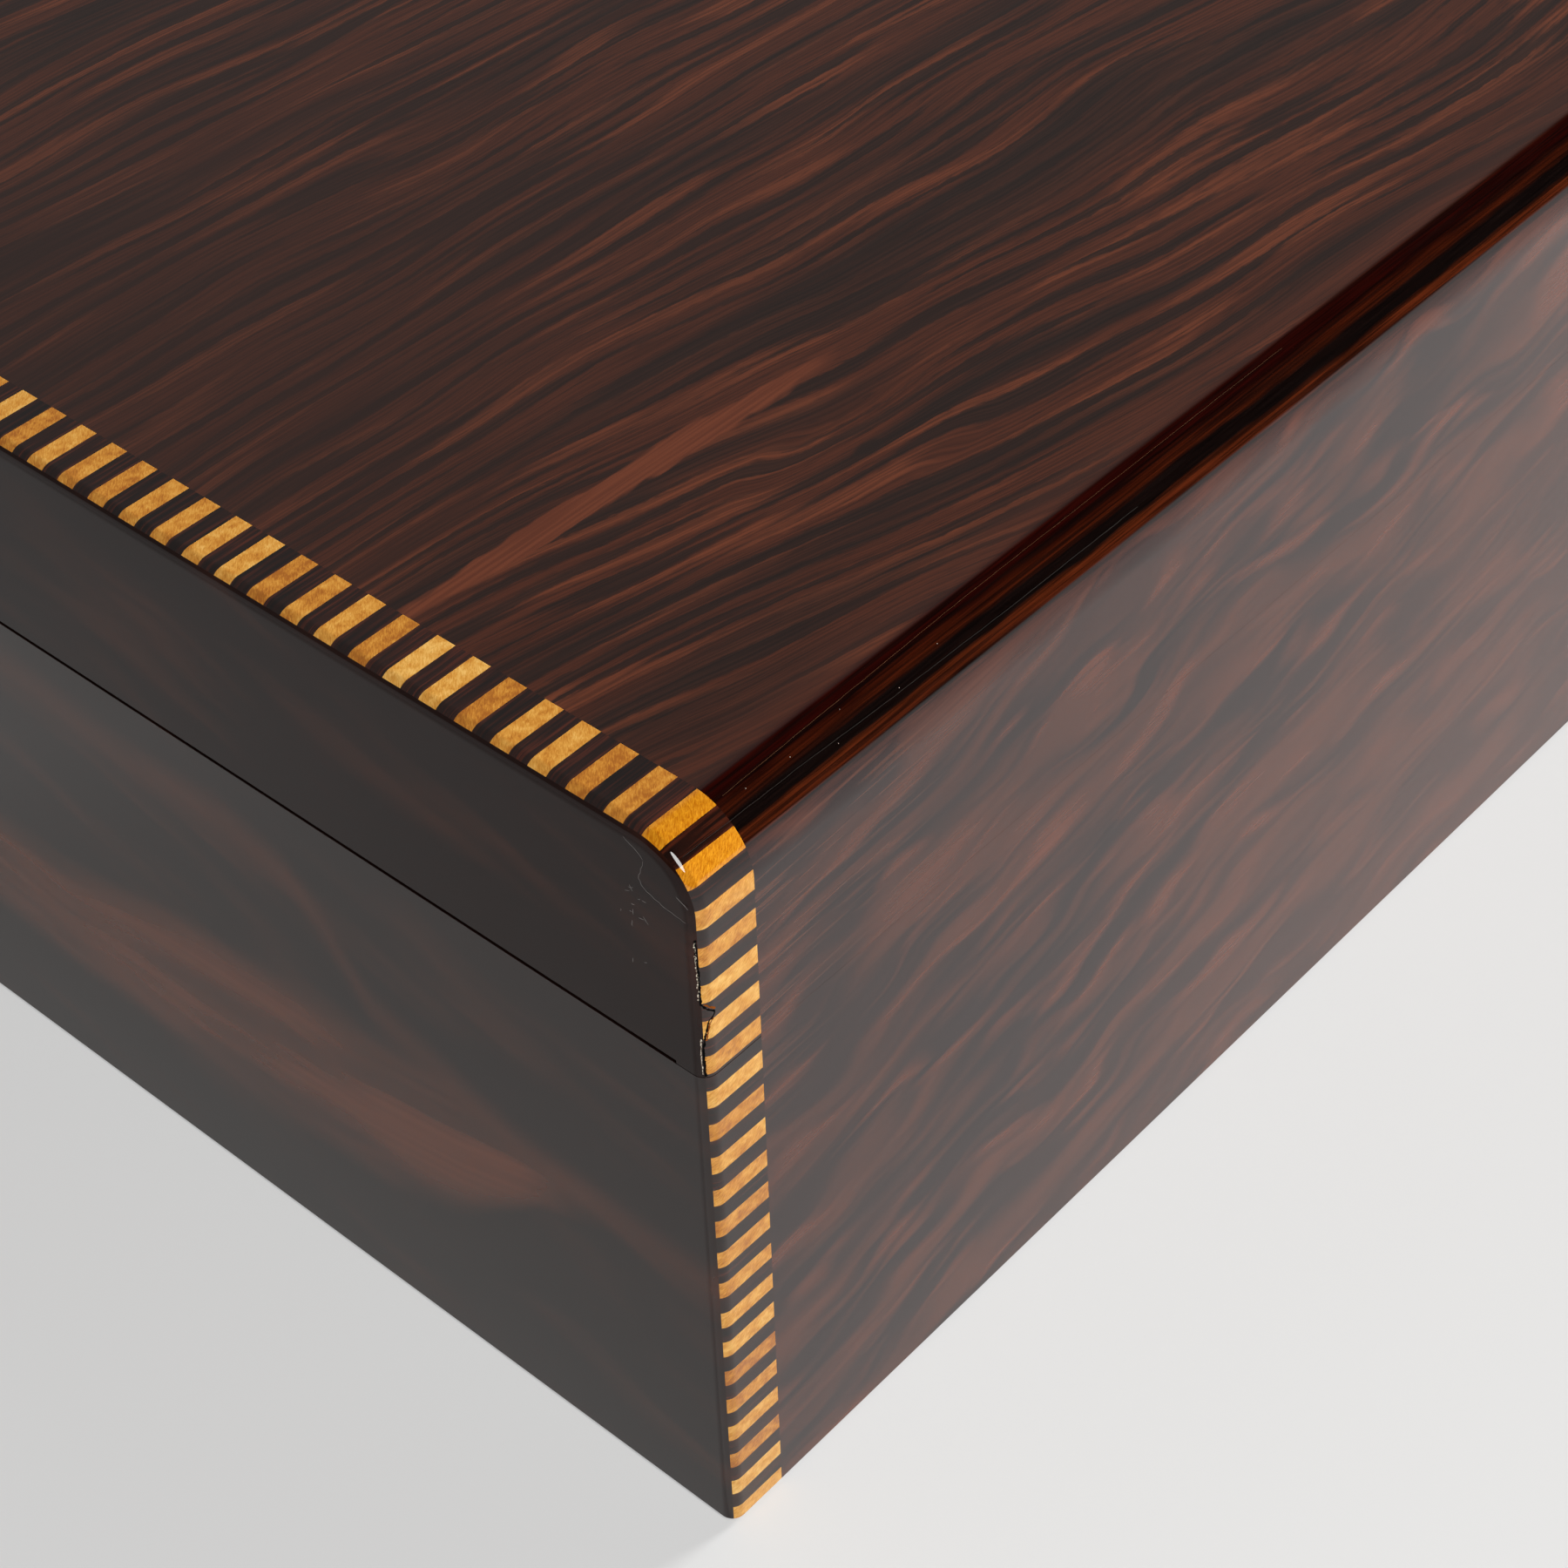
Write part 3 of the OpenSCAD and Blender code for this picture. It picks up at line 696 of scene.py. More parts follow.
def shell_faces(rows, columns):
    """Faces of a closed shell whose points are numbered [row][column][outer, inner]: its two sides
    and its four edges."""
    number = np.arange(rows * columns * 2).reshape(rows, columns, 2)
    outer, inner = number[..., 0], number[..., 1]
    corners = [
        (outer[:-1, :-1], outer[1:, :-1], outer[1:, 1:], outer[:-1, 1:]),
        (inner[:-1, :-1], inner[:-1, 1:], inner[1:, 1:], inner[1:, :-1]),
        (outer[0, :-1], outer[0, 1:], inner[0, 1:], inner[0, :-1]),
        (outer[-1, :-1], inner[-1, :-1], inner[-1, 1:], outer[-1, 1:]),
        (outer[:-1, 0], inner[:-1, 0], inner[1:, 0], outer[1:, 0]),
        (outer[:-1, -1], outer[1:, -1], inner[1:, -1], inner[:-1, -1]),
    ]
    return np.concatenate([np.stack([corner.ravel() for corner in four], 1) for four in corners])


def tube_faces(rings, count):
    """Faces that join rings of count points each, numbered ring by ring, and close both ends."""
    number = np.arange(rings * count).reshape(rings, count)
    following = np.roll(number, -1, 1)
    sides = np.stack([number[:-1], following[:-1], following[1:], number[1:]], -1)
    return sides.reshape(-1, 4).tolist() + [number[0, ::-1].tolist(), number[-1].tolist()]


def shells(s, x, side):
    """Closed shells of veneer laid on the path, one for each row of s. s is (shells, rows) or
    (shells, rows, columns) and x is (columns,), the distance from the end plane. The outer surface
    drops into the arris, and the inner one lies a veneer's thickness under the path."""
    if s.ndim == 2:
        s = s[..., None]
    s = np.broadcast_to(s, (*s.shape[:2], len(x)))
    y, z, ny, nz = path(s)
    drop = np.stack([arris_drop(x), np.full(len(x), VENEER)], -1)
    out_y = y[..., None] - ny[..., None] * drop
    out_z = z[..., None] - nz[..., None] * drop
    out_x = np.broadcast_to(side * (HALF_L - x)[None, None, :, None], out_y.shape)
    points = np.stack([out_x, out_y, out_z], -1).reshape(-1, 3)
    count, rows, columns = s.shape
    first_points = (np.arange(count) * rows * columns * 2)[:, None, None]
    faces = (shell_faces(rows, columns)[None] + first_points).reshape(-1, 4)
    grain = np.stack([out_x, np.broadcast_to(s[..., None], out_x.shape)], -1)
    return points, facing(points, faces), grain.reshape(-1, 2)


# -------- veneers and rungs


def arris_columns():
    """Distances from the end plane: close together over the arris, then to the band's inner edge."""
    joint = math.asin((ARRIS_R - VENEER) / ARRIS_R)
    near = ARRIS_R * (1 - np.sin(np.linspace(joint, 0, BAND_ARRIS_STEPS + 1)))
    return np.concatenate([near, [ARRIS_R + STRIP, HALF_L - BAND_IN]])


def rung_borders(tint, first, last):
    """Start and end along the path of each light or dark rung from first to last, and of those on
    the back half. The light rung in the middle of the lid lies on both halves, and comes once."""
    light = tint == "light"
    half = LIGHT_RUNG / 2
    k = np.arange(0, int(last / PITCH) + 2)
    start = k * PITCH - half if light else k * PITCH + half
    end = k * PITCH + half if light else (k + 1) * PITCH - half
    keep = np.minimum(end, last) - np.maximum(start, first) > THINNEST_RUNG
    pairs = np.stack([start[keep], end[keep]], 1)
    mirrored = pairs[1:] if light and first == 0 else pairs
    return np.concatenate([pairs, -mirrored[:, ::-1]])


def scattered(number, stride, spread):
    """A value from -1 to 1 for each whole number: the fraction of a large multiple of a sine."""
    large = np.sin(number * stride) * spread
    return (large - np.floor(large) - 0.5) * 2


def wander(border, x):
    """Hand sawn rungs: each border is off by a little, and a little out of square. It is worked out
    from the border's own place, so that the two rungs that share it meet."""
    number = np.round(4 * border / PITCH)
    off = scattered(number, *OFF_SCATTER)
    skew = scattered(number, *SKEW_SCATTER)
    across = (x - x.mean()) / (x.max() - x.min())
    return border[:, None] + SAW_WANDER * (off[:, None] + skew[:, None] * SAW_SKEW * across[None, :])


def ladder(node, side, tint, first, last, body, finish):
    """All the rungs of one tint in one band: shells between wandering borders, cut at the ends of
    the body's part of the path. Each rung has its own tone."""
    borders = rung_borders(tint, first, last)
    x = arris_columns()
    start = wander(borders[:, 0], x)
    end = wander(borders[:, 1], x)
    share = np.linspace(0, 1, RUNG_STEPS + 1)[None, :, None]
    s = start[:, None, :] * (1 - share) + end[:, None, :] * share
    if first > 0:
        front = (borders.mean(1) > 0)[:, None, None]
        s = np.where(front, np.clip(s, first, last), np.clip(s, -last, -first))
    else:
        s = np.clip(s, -last, last)
    points, faces, grain = shells(s, x, side)
    tones = np.random.default_rng(TONE_SEEDS[tint]).random(len(borders))
    tone = np.repeat(tones, len(points) // len(borders))
    mesh_piece(node + "_rungs", points, faces, body, finish, node, "ladder_" + tint, grain, tone)


def end_skin(node, side, body, first, last, finish):
    """An end veneer: its outline is the path between first and last, front and back, closed along
    the cut edges. It is carried from the joint with the band round the arris onto the end face. The
    lid's lower edge lies GROOVE_H higher than the saw cut, up to GROOVE_STOP from both corners."""
    whole = first == 0
    if whole:
        edge = np.linspace(FLAT, FLAT + ARC, END_EDGE_STEPS + 1)
        half = np.concatenate([[0.0, FLAT - STRIP], edge, [FLAT + ARC + STRIP, last]])
        s = np.concatenate([half[::-1], -half[1:]])
    else:
        s = np.array([first, last, -last, -first])
    y, z, ny, nz = path(s)
    if whole:
        stop = HALF_W - GROOVE_STOP
        y = np.append(y, [stop, stop, -stop, -stop])
        z = np.append(z, [LID_Z, LID_Z + GROOVE_H, LID_Z + GROOVE_H, LID_Z])
        ny = np.append(ny, np.zeros(4))
        nz = np.append(nz, np.zeros(4))
    turn = np.linspace(math.acos(1 - VENEER / ARRIS_R), 0, END_ARRIS_STEPS + 1)
    away = np.concatenate([[VENEER], ARRIS_R * (1 - np.cos(turn)), [0.0]])
    drop = np.concatenate([[VENEER], ARRIS_R * (1 - np.sin(turn)), [ARRIS_R + STRIP]])
    ring_y = y[None] - ny[None] * drop[:, None]
    ring_z = z[None] - nz[None] * drop[:, None]
    ring_x = np.broadcast_to(side * (HALF_L - away)[:, None], ring_y.shape)
    points = np.stack([ring_x, ring_y, ring_z], -1).reshape(-1, 3)
    faces = tube_faces(*ring_y.shape)
    if side < 0:
        faces = [face[::-1] for face in faces]
    turn_outwards(mesh_piece(node + "_skin", points, faces, body, finish, node, "end_veneer",
                             points[:, 1:]))


def wide_skin(node, s, body, finish):
    """A sheet between the two bands, with its grain carried along the path."""
    x = np.array([HALF_L - BAND_IN, HALF_L, HALF_L + BAND_IN])
    points, faces, grain = shells(s[None, :], x, -1)
    return mesh_piece(node + "_skin", points, faces, body, finish, node, "striped_veneer", grain)


def cut_mortises(piece, leaves):
    """Notches for the hinge leaves, as wide as the leaves, open to the cut edge and to the back."""
    for leaf in leaves:
        low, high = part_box(leaf)
        if leaf.endswith("lid_leaf"):
            heights = (LID_Z - MM, LID_Z + HINGE_LEAF)
        else:
            heights = (RIM_Z - HINGE_LEAF, RIM_Z + MM)
        corners = [(x, y, z) for x in (low.x, high.x) for y in (low.y, HALF_W + MM) for z in heights]
        mesh = bpy.data.meshes.new("cutter")
        mesh.from_pydata(corners, [], BLOCK_FACES)
        cutter = placed("cutter", mesh)
        cut = piece.modifiers.new("mortise", "BOOLEAN")
        cut.object = cutter
        cut.solver = "EXACT"
        bpy.context.view_layer.objects.active = piece
        bpy.ops.object.modifier_apply(modifier=cut.name)
        bpy.data.objects.remove(cutter)


def add_veneers():
    """The lid's wrapped veneer, the long sides and both ends, with the rungs of both bands."""
    ebony = striped_ebony()
    lid_end = end_ebony("lid_end_ebony", LID_END_INDEX)
    base_end = end_ebony("base_end_ebony", BASE_END_INDEX)
    dark = ebony_inlay()
    light = boxwood()
    lid_rows = np.concatenate([[FLAT - STRIP], np.linspace(FLAT, FLAT + ARC, WRAP_STEPS + 1),
                               [FLAT + ARC + STRIP, LID_END + SAW_LINE]])
    lid_rows = np.concatenate([-lid_rows[::-1], lid_rows])
    wrap = wide_skin("lid_wrap_veneer", lid_rows, "lid", ebony)
    cut_mortises(wrap, ["left_hinge_lid_leaf", "right_hinge_lid_leaf"])
    front_rows = np.array([BASE_START - SAW_LINE, BASE_END])
    wide_skin("base_front_veneer", front_rows, "base", ebony)
    back = wide_skin("base_back_veneer", -front_rows[::-1], "base", ebony)
    cut_mortises(back, ["left_hinge_base_leaf", "right_hinge_base_leaf"])
    for word, side in (("left", -1), ("right", 1)):
        end_skin(f"lid_{word}_end_veneer", side, "lid", 0, LID_END, lid_end)
        end_skin(f"base_{word}_end_veneer", side, "base", BASE_START, BASE_END, base_end)
        for tint, finish in (("light", light), ("dark", dark)):
            ladder(f"lid_{word}_ladder_{tint}", side, tint, 0, LID_END, "lid", finish)
            ladder(f"base_{word}_ladder_{tint}", side, tint, BASE_START, BASE_END, "base", finish)


# -------- liners and pads


def rounded(corners):
    """An outline whose corners, given as (q, z, radius), are rounded by quarter circles."""
    points = []
    for i, (q, z, radius) in enumerate(corners):
        here = np.array([q, z])
        if radius == 0:
            points.append(here)
            continue
        before = np.array(corners[i - 1][:2]) - here
        after = np.array(corners[(i + 1) % len(corners)][:2]) - here
        before = before / np.linalg.norm(before)
        after = after / np.linalg.norm(after)
        centre = here + radius * (before + after)
        for t in np.linspace(0, math.pi / 2, ROUND_STEPS + 1):
            points.append(centre - radius * (after * math.cos(t) + before * math.sin(t)))
    return np.array(points)


def liner(body, wall, outline, finish):
    """A liner: its outline, in distance from the wall and height, carried along the wall, with both
    ends cut at 45 degrees, so that the four meet in mitres. The grain runs along it, and its map
    goes round the outline."""
    node = f"{body}_{wall}_liner"
    long = wall in ("front", "back")
    sign = -1 if wall in ("front", "left") else 1
    reach, run = (IN_Y, IN_X) if long else (IN_X, IN_Y)
    q, z = outline.T
    along = np.array([[-1.0], [1.0]]) * (run - q)
    off = np.broadcast_to(sign * (reach - q), along.shape)
    high = np.broadcast_to(z, along.shape)
    points = np.stack([along, off, high] if long else [off, along, high], -1)
    girth = np.concatenate([[0], np.cumsum(np.hypot(np.diff(q), np.diff(z)))])
    grain = np.stack([along, np.broadcast_to(girth + LINER_SHIFT * sign, along.shape)], -1)
    turn_outwards(mesh_piece(node + "_board", points.reshape(-1, 3), tube_faces(*along.shape), body,
                             finish, node, "cedar", grain.reshape(-1, 2), smooth=35))


def add_liners():
    """The eight cedar liners. Those of the base have a rounded lip that reaches into the lid."""
    finish = cedar()
    base_outline = rounded([
        (0, BASE_LINER_LOW.z, 0), (0, RIM_Z, 0), (LIP_GAP, RIM_Z, 0),
        (LIP_GAP, BASE_LINER_HIGH.z, LIP_OUTER_R), (LINER, BASE_LINER_HIGH.z, LIP_INNER_R),
        (LINER, BASE_LINER_LOW.z, 0)])
    lid_outline = rounded([
        (0, LID_LINER_LOW.z, 0), (0, LID_LINER_HIGH.z, 0), (LINER, LID_LINER_HIGH.z, 0),
        (LINER, LID_LINER_LOW.z, LID_LINER_R)])
    for wall in ("front", "back", "left", "right"):
        liner("base", wall, base_outline, finish)
        liner("lid", wall, lid_outline, finish)


def pad_line(half, rim):
    """Places across a pad from -half to half: even steps, and over both rims closer ones, by the
    rim's radius times 1 - cos over a quarter turn."""
    ease = rim * (1 - np.cos(np.linspace(0, math.pi / 2, RIM_STEPS + 1)))
    inner = np.linspace(rim - half, half - rim, PAD_STEPS + 1)[1:-1]
    return np.concatenate([ease - half, inner, (half - ease)[::-1]])


def pillow(node, body, slot, finish, rim, crown, up):
    """A thin padded board: a slab that falls over a rounded rim, swells by crown towards the middle
    and waves very slightly. From RIM_SHARE of its height at the rim it rises by the square root of
    1 - (1 - e) squared, where e is the distance from the rim in radii. The swell is the product of
    1 - u to the fourth power along both sides, with u from 0 in the middle to 1 at the rim."""
    low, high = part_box(node)
    half_x = (high.x - low.x) / 2
    half_y = (high.y - low.y) / 2
    thick = high.z - low.z
    x, y = np.meshgrid(pad_line(half_x, rim), pad_line(half_y, rim), indexing="ij")
    e = np.clip(np.minimum(half_x - np.abs(x), half_y - np.abs(y)) / rim, 0, 1)
    shoulder = np.sqrt(1 - (1 - e) ** 2)
    swell = (1 - (x / half_x) ** 4) * (1 - (y / half_y) ** 4)
    wave = PAD_WAVE * np.sin(x * WAVE_TURNS[0] + 1) * np.cos(y * WAVE_TURNS[1] + 2)
    height = (thick - crown) * (RIM_SHARE + (1 - RIM_SHARE) * shoulder)
    height = height + (crown - PAD_WAVE) * swell + wave * swell
    if up:
        z = np.stack([height, np.zeros_like(height)], -1)
    else:
        z = np.stack([thick - height, np.full_like(height, thick)], -1)
    points = np.stack([np.broadcast_to(x[..., None], z.shape),
                       np.broadcast_to(y[..., None], z.shape), z + low.z], -1).reshape(-1, 3)
    faces = facing(points, shell_faces(*x.shape))
    return mesh_piece(node + "_cover", points, faces, body, finish, node, slot, smooth=60)


def add_pads():
    """The suede pads on the floor and in the lid, and the felt under the bottom board."""
    finish = suede()
    base_pad = pillow("base_suede_pad", "base", "suede", finish, PAD_RIM, PAD_CROWN, up=True)
    lid_pad = pillow("lid_suede_pad", "lid", "suede", finish, PAD_RIM, PAD_CROWN, up=False)
    cloth = pillow("base_felt", "base", "felt", felt(), FELT_RIM, PAD_WAVE, up=False)


# -------- wear

# All lengths of the wear are in millimetres. How far a mark stands above and below the skin, and
# how close to the end plane a line over the corner comes
MARK_PROUD = 0.008
MARK_CLEAR = 0.12

# The step between the points of a line on the corner, on the end face and on the rounded edge
CORNER_STEP = 0.16
END_STEP = 0.35
EDGE_STEP = 1.5

# A scratch is SCRATCH_TIP of its width and more by the rest times a sine, which runs between these
# angles
SCRATCH_TIP = 0.35
SCRATCH_SWELL = (0.15, 3.0)

# Lines over the lid's front left corner: their corners as (distance from the end plane, height),
# width, shift sideways, seed, jitter and roughness of the width
CRACK = [([(0.46, 111.4), (0.49, 108.1), (0.57, 104.9), (0.57, 101.0), (1.03, 100.2), (2.2, 99.1),
           (2.0, 98.6), (1.27, 98.0), (0.85, 95.9), (0.72, 94.8), (0.57, 93.3), (0.60, 90.9),
           (0.64, 88.9)], 0.25, 0.03, 3, 0.04, 0.5)]
CHIPS = [([(0.36, 110.9), (0.36, 108.2), (0.42, 105.0), (0.42, 101.6)], 0.13, -0.03, 5, 0.05, 0.9),
         ([(0.42, 95.2), (0.36, 92.8), (0.40, 89.2)], 0.14, 0.0, 7, 0.03, 0.6)]
TORN = [([(0.80, 100.9), (1.3, 100.4), (2.25, 99.5)], 0.22, 0.0, 9, 0.04, 0.5),
        ([(1.9, 98.2), (1.35, 97.6), (1.02, 95.9), (0.9, 94.9)], 0.20, 0.0, 11, 0.04, 0.5)]

# Scratches on the left end face: their corners as (y, z), width, seed and jitter
SCRATCHES = [([(-117.4, 119.6), (-116.4, 116.6), (-117.0, 115.4), (-120.3, 114.2), (-123.4, 113.9)],
              0.055, 13, 0.09),
             ([(-114.5, 121.7), (-116.6, 120.6), (-117.3, 119.8)], 0.05, 15, 0.05),
             ([(-122.2, 117.2), (-123.9, 116.3)], 0.10, 17, 0.05)]

# Short flecks below them: the least and most of y, z and of the steps to their other end
FLECKS = 16
FLECK_LEAST = (-117, 102, -0.9, -0.9)
FLECK_MOST = (-112, 115.5, 0.9, 0.4)
FLECK_WIDTH = 0.07
FLECK_JITTER = 0.05
FLECK_SEED = 19
FIRST_FLECK_SEED = 21

# Hairlines along the rounded edge: their corners as (x, distance along the path), width, seed and
# jitter
HAIRLINE = [([(-169, 119.45), (-161.7, 119.26), (-147, 118.95), (-126, 118.5), (-100, 118.4),
              (-60, 118.3)], 0.030, 41, 0.03)]
GREY_HAIRLINE = [([(-178, 122.1), (-168, 122.2), (-158, 122.25), (-146, 122.6), (-120, 122.9),
                   (-96, 122.9)], 0.035, 43, 0.03)]

# Specks on the rounded edge: where they start, and the step to their other end
SPECKS = [(-166.1, 120.4), (-158.9, 120.7), (-152.6, 122.9), (-149.5, 119.9), (-141.2, 122.2),
          (-133.0, 120.9)]
SPECK_STEP = (0.09, 0.04)
SPECK_WIDTH = 0.09
SPECK_JITTER = 0.01
FIRST_SPECK_SEED = 60

CRACK_BLACK = (0.004, 0.004, 0.004)
TORN_BROWN = (0.26, 0.070, 0.010)
SCRATCH_DIM = (0.20, 0.19, 0.185)
SCRATCH_TAN = (0.130, 0.055, 0.022)
SCRATCH_GREY = (0.034, 0.028, 0.024)
SPECK_PALE = (0.42, 0.38, 0.34)


def on_skin(s, d):
    """Points and normals of the left band's surface at distances s along the path and d from the end
    plane, over the arris."""
    y, z, ny, nz = path(s)
    drop = arris_drop(d)
    tilt = np.arcsin(np.clip((ARRIS_R - d) / ARRIS_R, 0, 1))
    points = np.stack([d - HALF_L, y - ny * drop, z - nz * drop], -1)
    return points, np.stack([-np.sin(tilt), ny * np.cos(tilt), nz * np.cos(tilt)], -1)


def ribbon(points, normals, widths, shift):
    """Points of a thin band along a line on a surface: four for each step, at both edges of the
    width, MARK_PROUD above and below the surface, moved sideways by shift."""
    tangent = np.gradient(points, axis=0)
    sideways = np.cross(tangent, normals)
    sideways /= np.linalg.norm(sideways, axis=1)[:, None]
    centre = points + sideways * shift
    half = sideways * np.broadcast_to(widths, len(points))[:, None] / 2
    lift = normals * MARK_PROUD * MM
    rings = [centre - half + lift, centre + half + lift, centre + half - lift, centre - half - lift]
    return np.stack(rings, 1).reshape(-1, 3)


def marks(name, lines, finish):
    """One piece on the lid, made of a ribbon for each line of (points, normals, widths, shift)."""
    points = [ribbon(*line) for line in lines]
    starts = np.cumsum([0] + [len(own) for own in points])
    faces = [np.array(tube_faces(len(own) // 4, 4)) + start for own, start in zip(points, starts)]
    turn_outwards(mesh_piece(name, np.concatenate(points), np.concatenate(faces), "lid", finish))


def finer(corners, step, jitter, seed):
    """A line through corners with a point every step, each off by up to jitter, in metres."""
    corners = np.asarray(corners, float)
    length = np.concatenate([[0], np.cumsum(np.linalg.norm(np.diff(corners, axis=0), axis=1))])
    at = np.linspace(0, length[-1], max(3, int(length[-1] / step)))
    line = np.stack([np.interp(at, length, corners[:, 0]), np.interp(at, length, corners[:, 1])], 1)
    rng = np.random.default_rng(seed)
    return (line + rng.uniform(-jitter, jitter, line.shape)) * MM


def corner_line(corners, width, shift, seed, jitter, rough):
    """A line over the lid's front left corner."""
    line = finer(corners, CORNER_STEP, jitter, seed)
    points, normals = on_skin(along_path(line[:, 1]), np.maximum(line[:, 0], MARK_CLEAR * MM))
    rng = np.random.default_rng(seed + 1)
    widths = width * MM * (1 + rough * rng.uniform(-1, 1, len(line)))
    return points, normals, widths, shift * MM


def end_line(corners, width, seed, jitter):
    """A scratch on the left end face, thinner towards both tips."""
    line = finer(corners, END_STEP, jitter, seed)
    points = np.column_stack([np.full(len(line), -HALF_L), line])
    normals = np.tile([-1.0, 0.0, 0.0], (len(line), 1))
    swell = np.sin(np.linspace(*SCRATCH_SWELL, len(line)))
    widths = width * MM * (SCRATCH_TIP + (1 - SCRATCH_TIP) * swell)
    return points, normals, widths, 0.0


def edge_line(corners, width, seed, jitter):
    """A hairline along the rounded edge."""
    line = finer(corners, EDGE_STEP, jitter, seed)
    points, normals = on_skin(line[:, 1], line[:, 0] + HALF_L)
    return points, normals, width * MM, 0.0


def end_flecks():
    """The short flecks as rows like those of SCRATCHES, scattered by a seeded rule."""
    rng = np.random.default_rng(FLECK_SEED)
    rows = []
    for k in range(FLECKS):
        y, z, step_y, step_z = rng.uniform(FLECK_LEAST, FLECK_MOST)
        corners = [(y, z), (y + step_y, z + step_z)]
        rows.append((corners, FLECK_WIDTH, FIRST_FLECK_SEED + k, FLECK_JITTER))
    return rows


def edge_specks():
    """The specks on the rounded edge as rows like those of the hairlines."""
    step_x, step_s = SPECK_STEP
    return [([(x, s), (x + step_x, s + step_s)], SPECK_WIDTH, FIRST_SPECK_SEED + k, SPECK_JITTER)
            for k, (x, s) in enumerate(SPECKS)]


def add_wear():
    """The crack down the lid's front left corner with its chipped edge, and the fine scratches."""
    scratched = SCRATCHES + end_flecks()
    for name, line, rows, finish in (
            ("lid_corner_crack", corner_line, CRACK, plain("crack", CRACK_BLACK, 0.6, 0.0)),
            ("lid_corner_chips", corner_line, CHIPS, chipped()),
            ("lid_corner_torn", corner_line, TORN, plain("torn_wood", TORN_BROWN, 0.6, 0.0)),
            ("lid_end_scratches", end_line, scratched, plain("scratch_dim", SCRATCH_DIM, 0.5, 0.5)),
            ("lid_edge_hairline", edge_line, HAIRLINE, plain("scratch_tan", SCRATCH_TAN, 0.5, 0.1)),
            ("lid_edge_hairline_grey", edge_line, GREY_HAIRLINE,
             plain("scratch_grey", SCRATCH_GREY, 0.5, 0.1)),
            ("lid_edge_specks", edge_line, edge_specks(), plain("speck", SPECK_PALE, 0.5, 0.5))):
        marks(name, [line(*row) for row in rows], finish)


# -------- boards, dowels and hinges


def dress_boards():
    """Gives every CAD node that still shows the finish of its material slot."""
    finishes = {
        "core_wood": plain_wood("core_wood", dark=(0.030, 0.014, 0.008), light=(0.075, 0.035, 0.018),
                                rough=0.45),
        "board_wood": plain_wood("board_wood", dark=(0.20, 0.10, 0.05), light=(0.36, 0.20, 0.10),
                                 rough=0.6),
        "dowel_wood": plain_wood("dowel_wood", dark=(0.45, 0.30, 0.16), light=(0.62, 0.44, 0.26),
                                 rough=0.6),
        "hinge_brass": brass("hinge_brass", bright=(0.72, 0.48, 0.17), dull=(0.50, 0.29, 0.09),
                             tarnish=0.5),
        "screw_brass": brass("screw_brass", bright=(0.50, 0.36, 0.17), dull=(0.20, 0.13, 0.06),
                             tarnish=0.7),
    }
    for part in frame["record"]["subparts"]:
        shown = frame["nodes"][part["node"]]
        if part["material_slot"] in finishes and not shown.hide_render:
            shown.data.materials.clear()
            shown.data.materials.append(finishes[part["material_slot"]])


# -------- the studio

# The camera: its place from the lid's front left corner, its right and up, its lens and sensor
CORNER = Vector((-HALF_L, -HALF_W, TOP))
CAMERA_FROM_CORNER = Vector((-180.09, -180.86, 247.87)) * MM
CAMERA_RIGHT = Vector((0.66110, -0.74983, -0.02664))
CAMERA_UP = Vector((0.52260, 0.43470, 0.73343))
LENS = 75.25
SENSOR = 36

# The even background, the distances between which the paper turns into it, and how much of it the
# camera sees near the box
BACKGROUND = 0.80
PAPER_END = 0.28
EVEN_FROM = 0.70
EVEN_NEAR = 0.45

# The paper: its half length, its two greys and the size of its clouds
PAPER_HALF = 12.0
PAPER_DARK = 0.81
PAPER_LIGHT = 0.83
PAPER_CLOUD = 0.4

# The room: its dark and its light side, where one turns into the other, and where the horizon fades
ROOM_BLACK = 0.012
ROOM_GREY = 0.23
ROOM_TURN = (0.25, 0.35)
HORIZON = (0.13, 0.07)

# The key lamp's direction from the corner and its distance, and the colours of the lamps
KEY_WAY = Vector((-0.25, -0.65, 0.72)).normalized()
KEY_AWAY = 1.2
WARM = (1, 0.99, 0.97)
WHITE = (1, 1, 1)

# The lamps: name, place, what they face, width, height, power and colour
LAMPS = [
    ("key_softbox", CORNER + KEY_WAY * KEY_AWAY, CORNER, 0.46, 0.74, 12.4, WARM),
    ("side_softbox", (1.9, -0.5, 0.60), (0, -0.2, 0), 0.6, 0.6, 55, WARM),
    ("back_softbox", (0.6, 1.55, 0.58), (0, 0.1, 0.06), 0.8, 0.5, 11, WHITE),
]


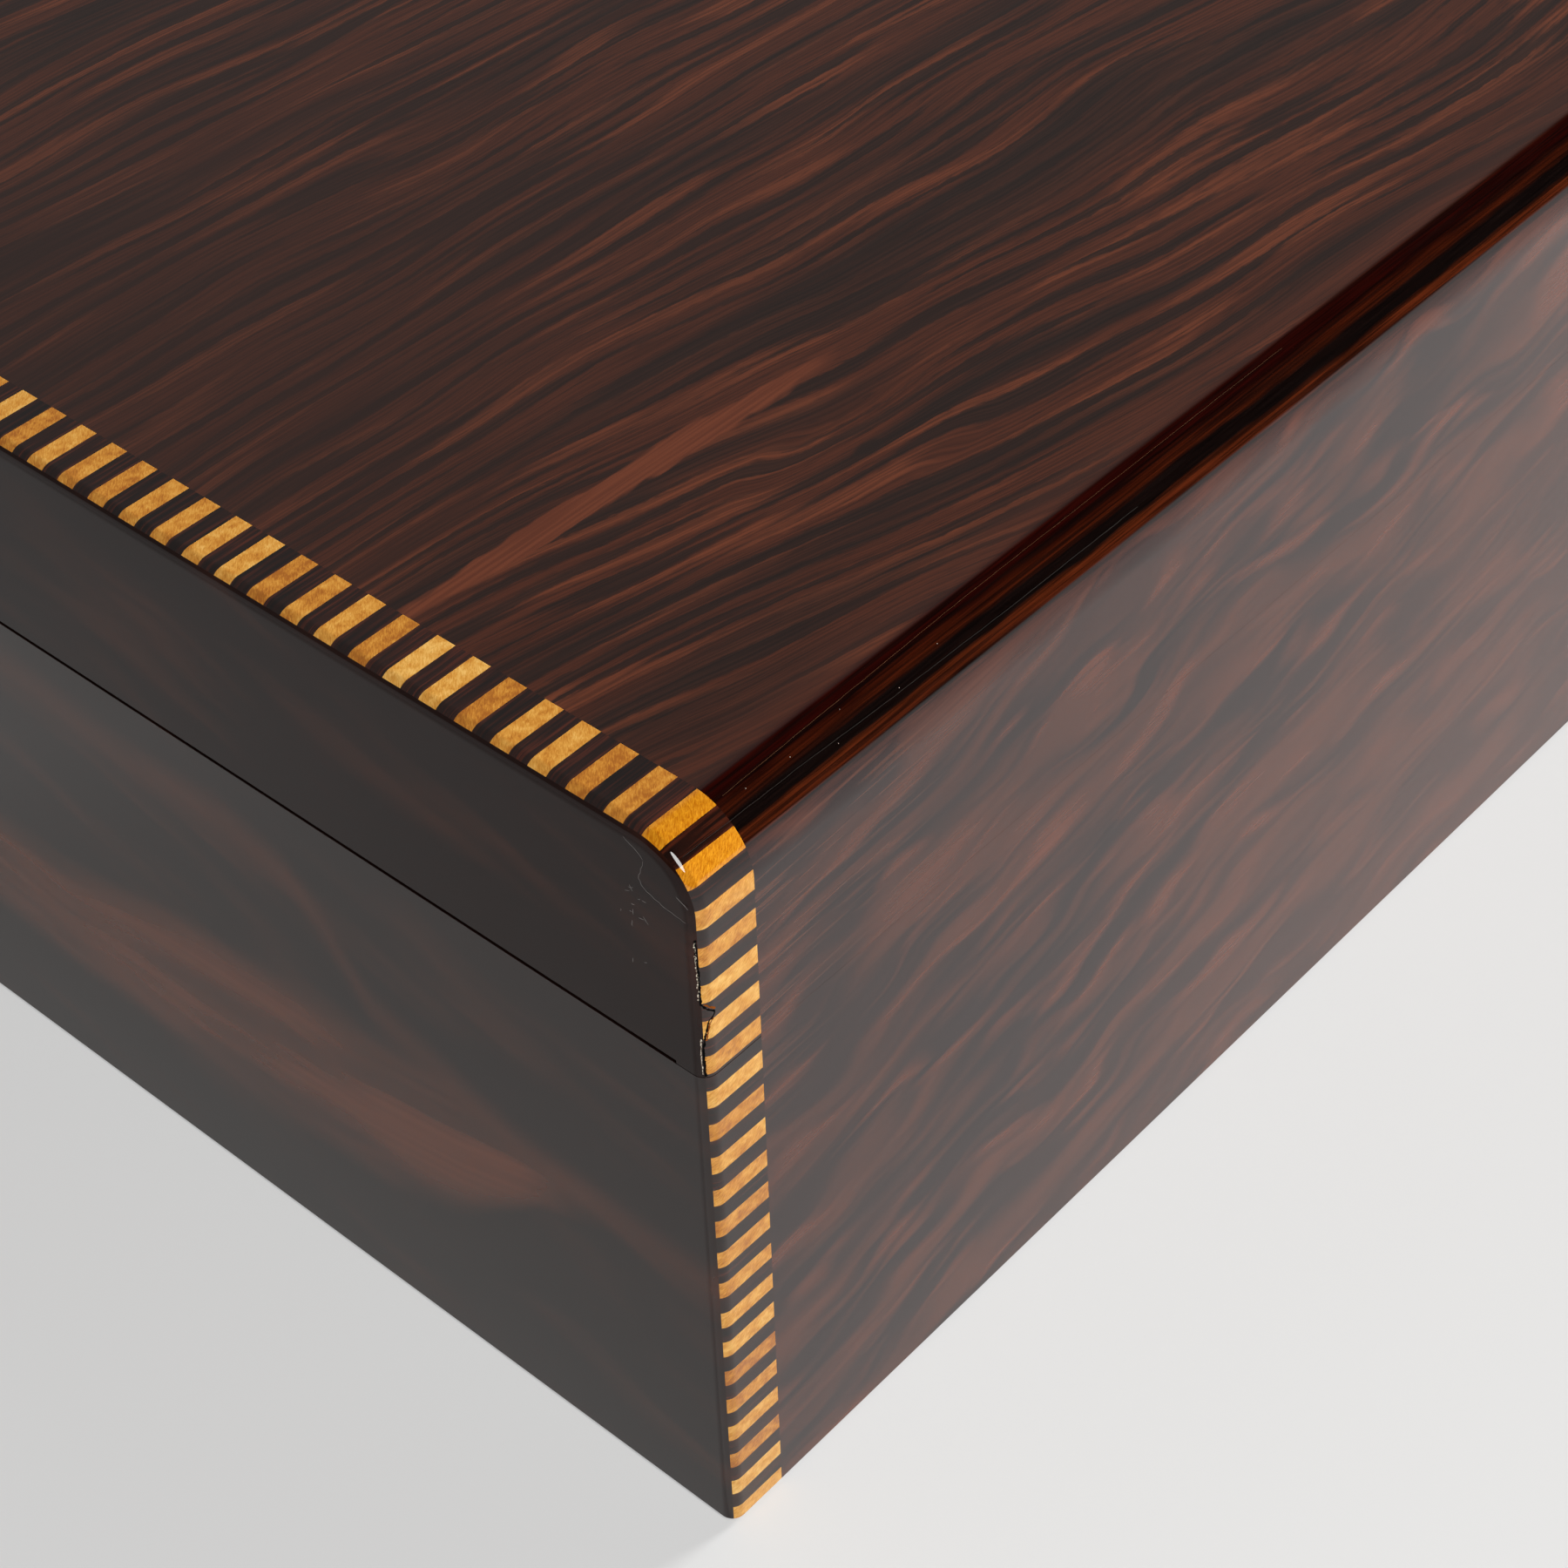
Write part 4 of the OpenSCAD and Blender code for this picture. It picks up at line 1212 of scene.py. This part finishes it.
def floor_finish():
    """Plain pale studio paper. Away from the box it turns into the even background, for the camera,
    in reflections and through glass. Near the box part of that background shows to the camera too,
    so that the shadow is soft."""
    f = Finish("studio_paper")
    x, y, _ = f.place()
    cloud = f.noise(x / PAPER_CLOUD, y / PAPER_CLOUD)
    grey = f.mix(cloud, (PAPER_DARK,) * 3, (PAPER_LIGHT,) * 3)
    paper = f.node("BsdfDiffuse", {}, {"Color": grey})
    even = f.node("Emission", {}, {"Color": (*(BACKGROUND,) * 3, 1), "Strength": 1.0})
    away = f.math("SQRT", x * x + y * y)
    camera = f.node("LightPath", {}, {}, "Is Camera Ray")
    glossy = f.node("LightPath", {}, {}, "Is Glossy Ray")
    clear = f.node("LightPath", {}, {}, "Is Transmission Ray")
    seen = f.math("MAXIMUM", f.math("MAXIMUM", camera, glossy), clear)
    share = f.math("MAXIMUM", f.step(away, PAPER_END, EVEN_FROM) * seen, camera * EVEN_NEAR)
    both = f.node("MixShader", {}, {0: share, 1: paper, 2: even})
    f.node("OutputMaterial", {}, {"Surface": both})
    return f.made


def add_floor():
    """A pale floor, wide enough to fill the view."""
    corners = [(-1, -1, 0), (1, -1, 0), (1, 1, 0), (-1, 1, 0)]
    mesh = bpy.data.meshes.new("studio_floor")
    mesh.from_pydata(np.array(corners) * PAPER_HALF, [], [(0, 1, 2, 3)])
    mesh.materials.append(floor_finish())
    placed("studio_floor", mesh)


def add_world():
    """A dark room, light on the far side of the box and pale along the horizon."""
    f = Finish("studio", world=True)
    _, y, z = f.parts(f.node("TexCoord", {}, {}, "Generated"))
    grey = f.mix(f.step(y, *ROOM_TURN), (ROOM_BLACK,) * 3, (ROOM_GREY,) * 3)
    room = f.mix(f.step(f.size_of(z), *HORIZON), grey, (BACKGROUND,) * 3)
    f.node("OutputWorld", {}, {"Surface": f.node("Background", {}, {"Color": room})})
    bpy.context.scene.world = f.made


def add_camera():
    """The camera looks down on the front left corner, with the frame square."""
    data = bpy.data.cameras.new("camera")
    data.lens = LENS
    data.sensor_width = SENSOR
    camera = placed("camera", data)
    right = CAMERA_RIGHT.normalized()
    up = (CAMERA_UP - right * CAMERA_UP.dot(right)).normalized()
    back = right.cross(up)
    turn = Matrix((right, up, back)).transposed().to_4x4()
    camera.matrix_world = Matrix.Translation(CORNER + CAMERA_FROM_CORNER) @ turn
    bpy.context.scene.camera = camera


def add_softbox(name, place, aim, width, height, power, colour):
    """An oval lamp at place that faces aim."""
    data = bpy.data.lights.new(name, "AREA")
    data.shape = "ELLIPSE"
    data.size = width
    data.size_y = height
    data.energy = power
    data.color = colour
    lamp = placed(name, data)
    lamp.location = place
    lamp.rotation_euler = (Vector(aim) - Vector(place)).to_track_quat("-Z", "Y").to_euler()


# -------- the whole

add_veneers()
add_liners()
add_pads()
add_wear()
dress_boards()
add_floor()
add_world()
add_camera()
for lamp_values in LAMPS:
    add_softbox(*lamp_values)
bpy.context.scene.view_settings.view_transform = "Standard"
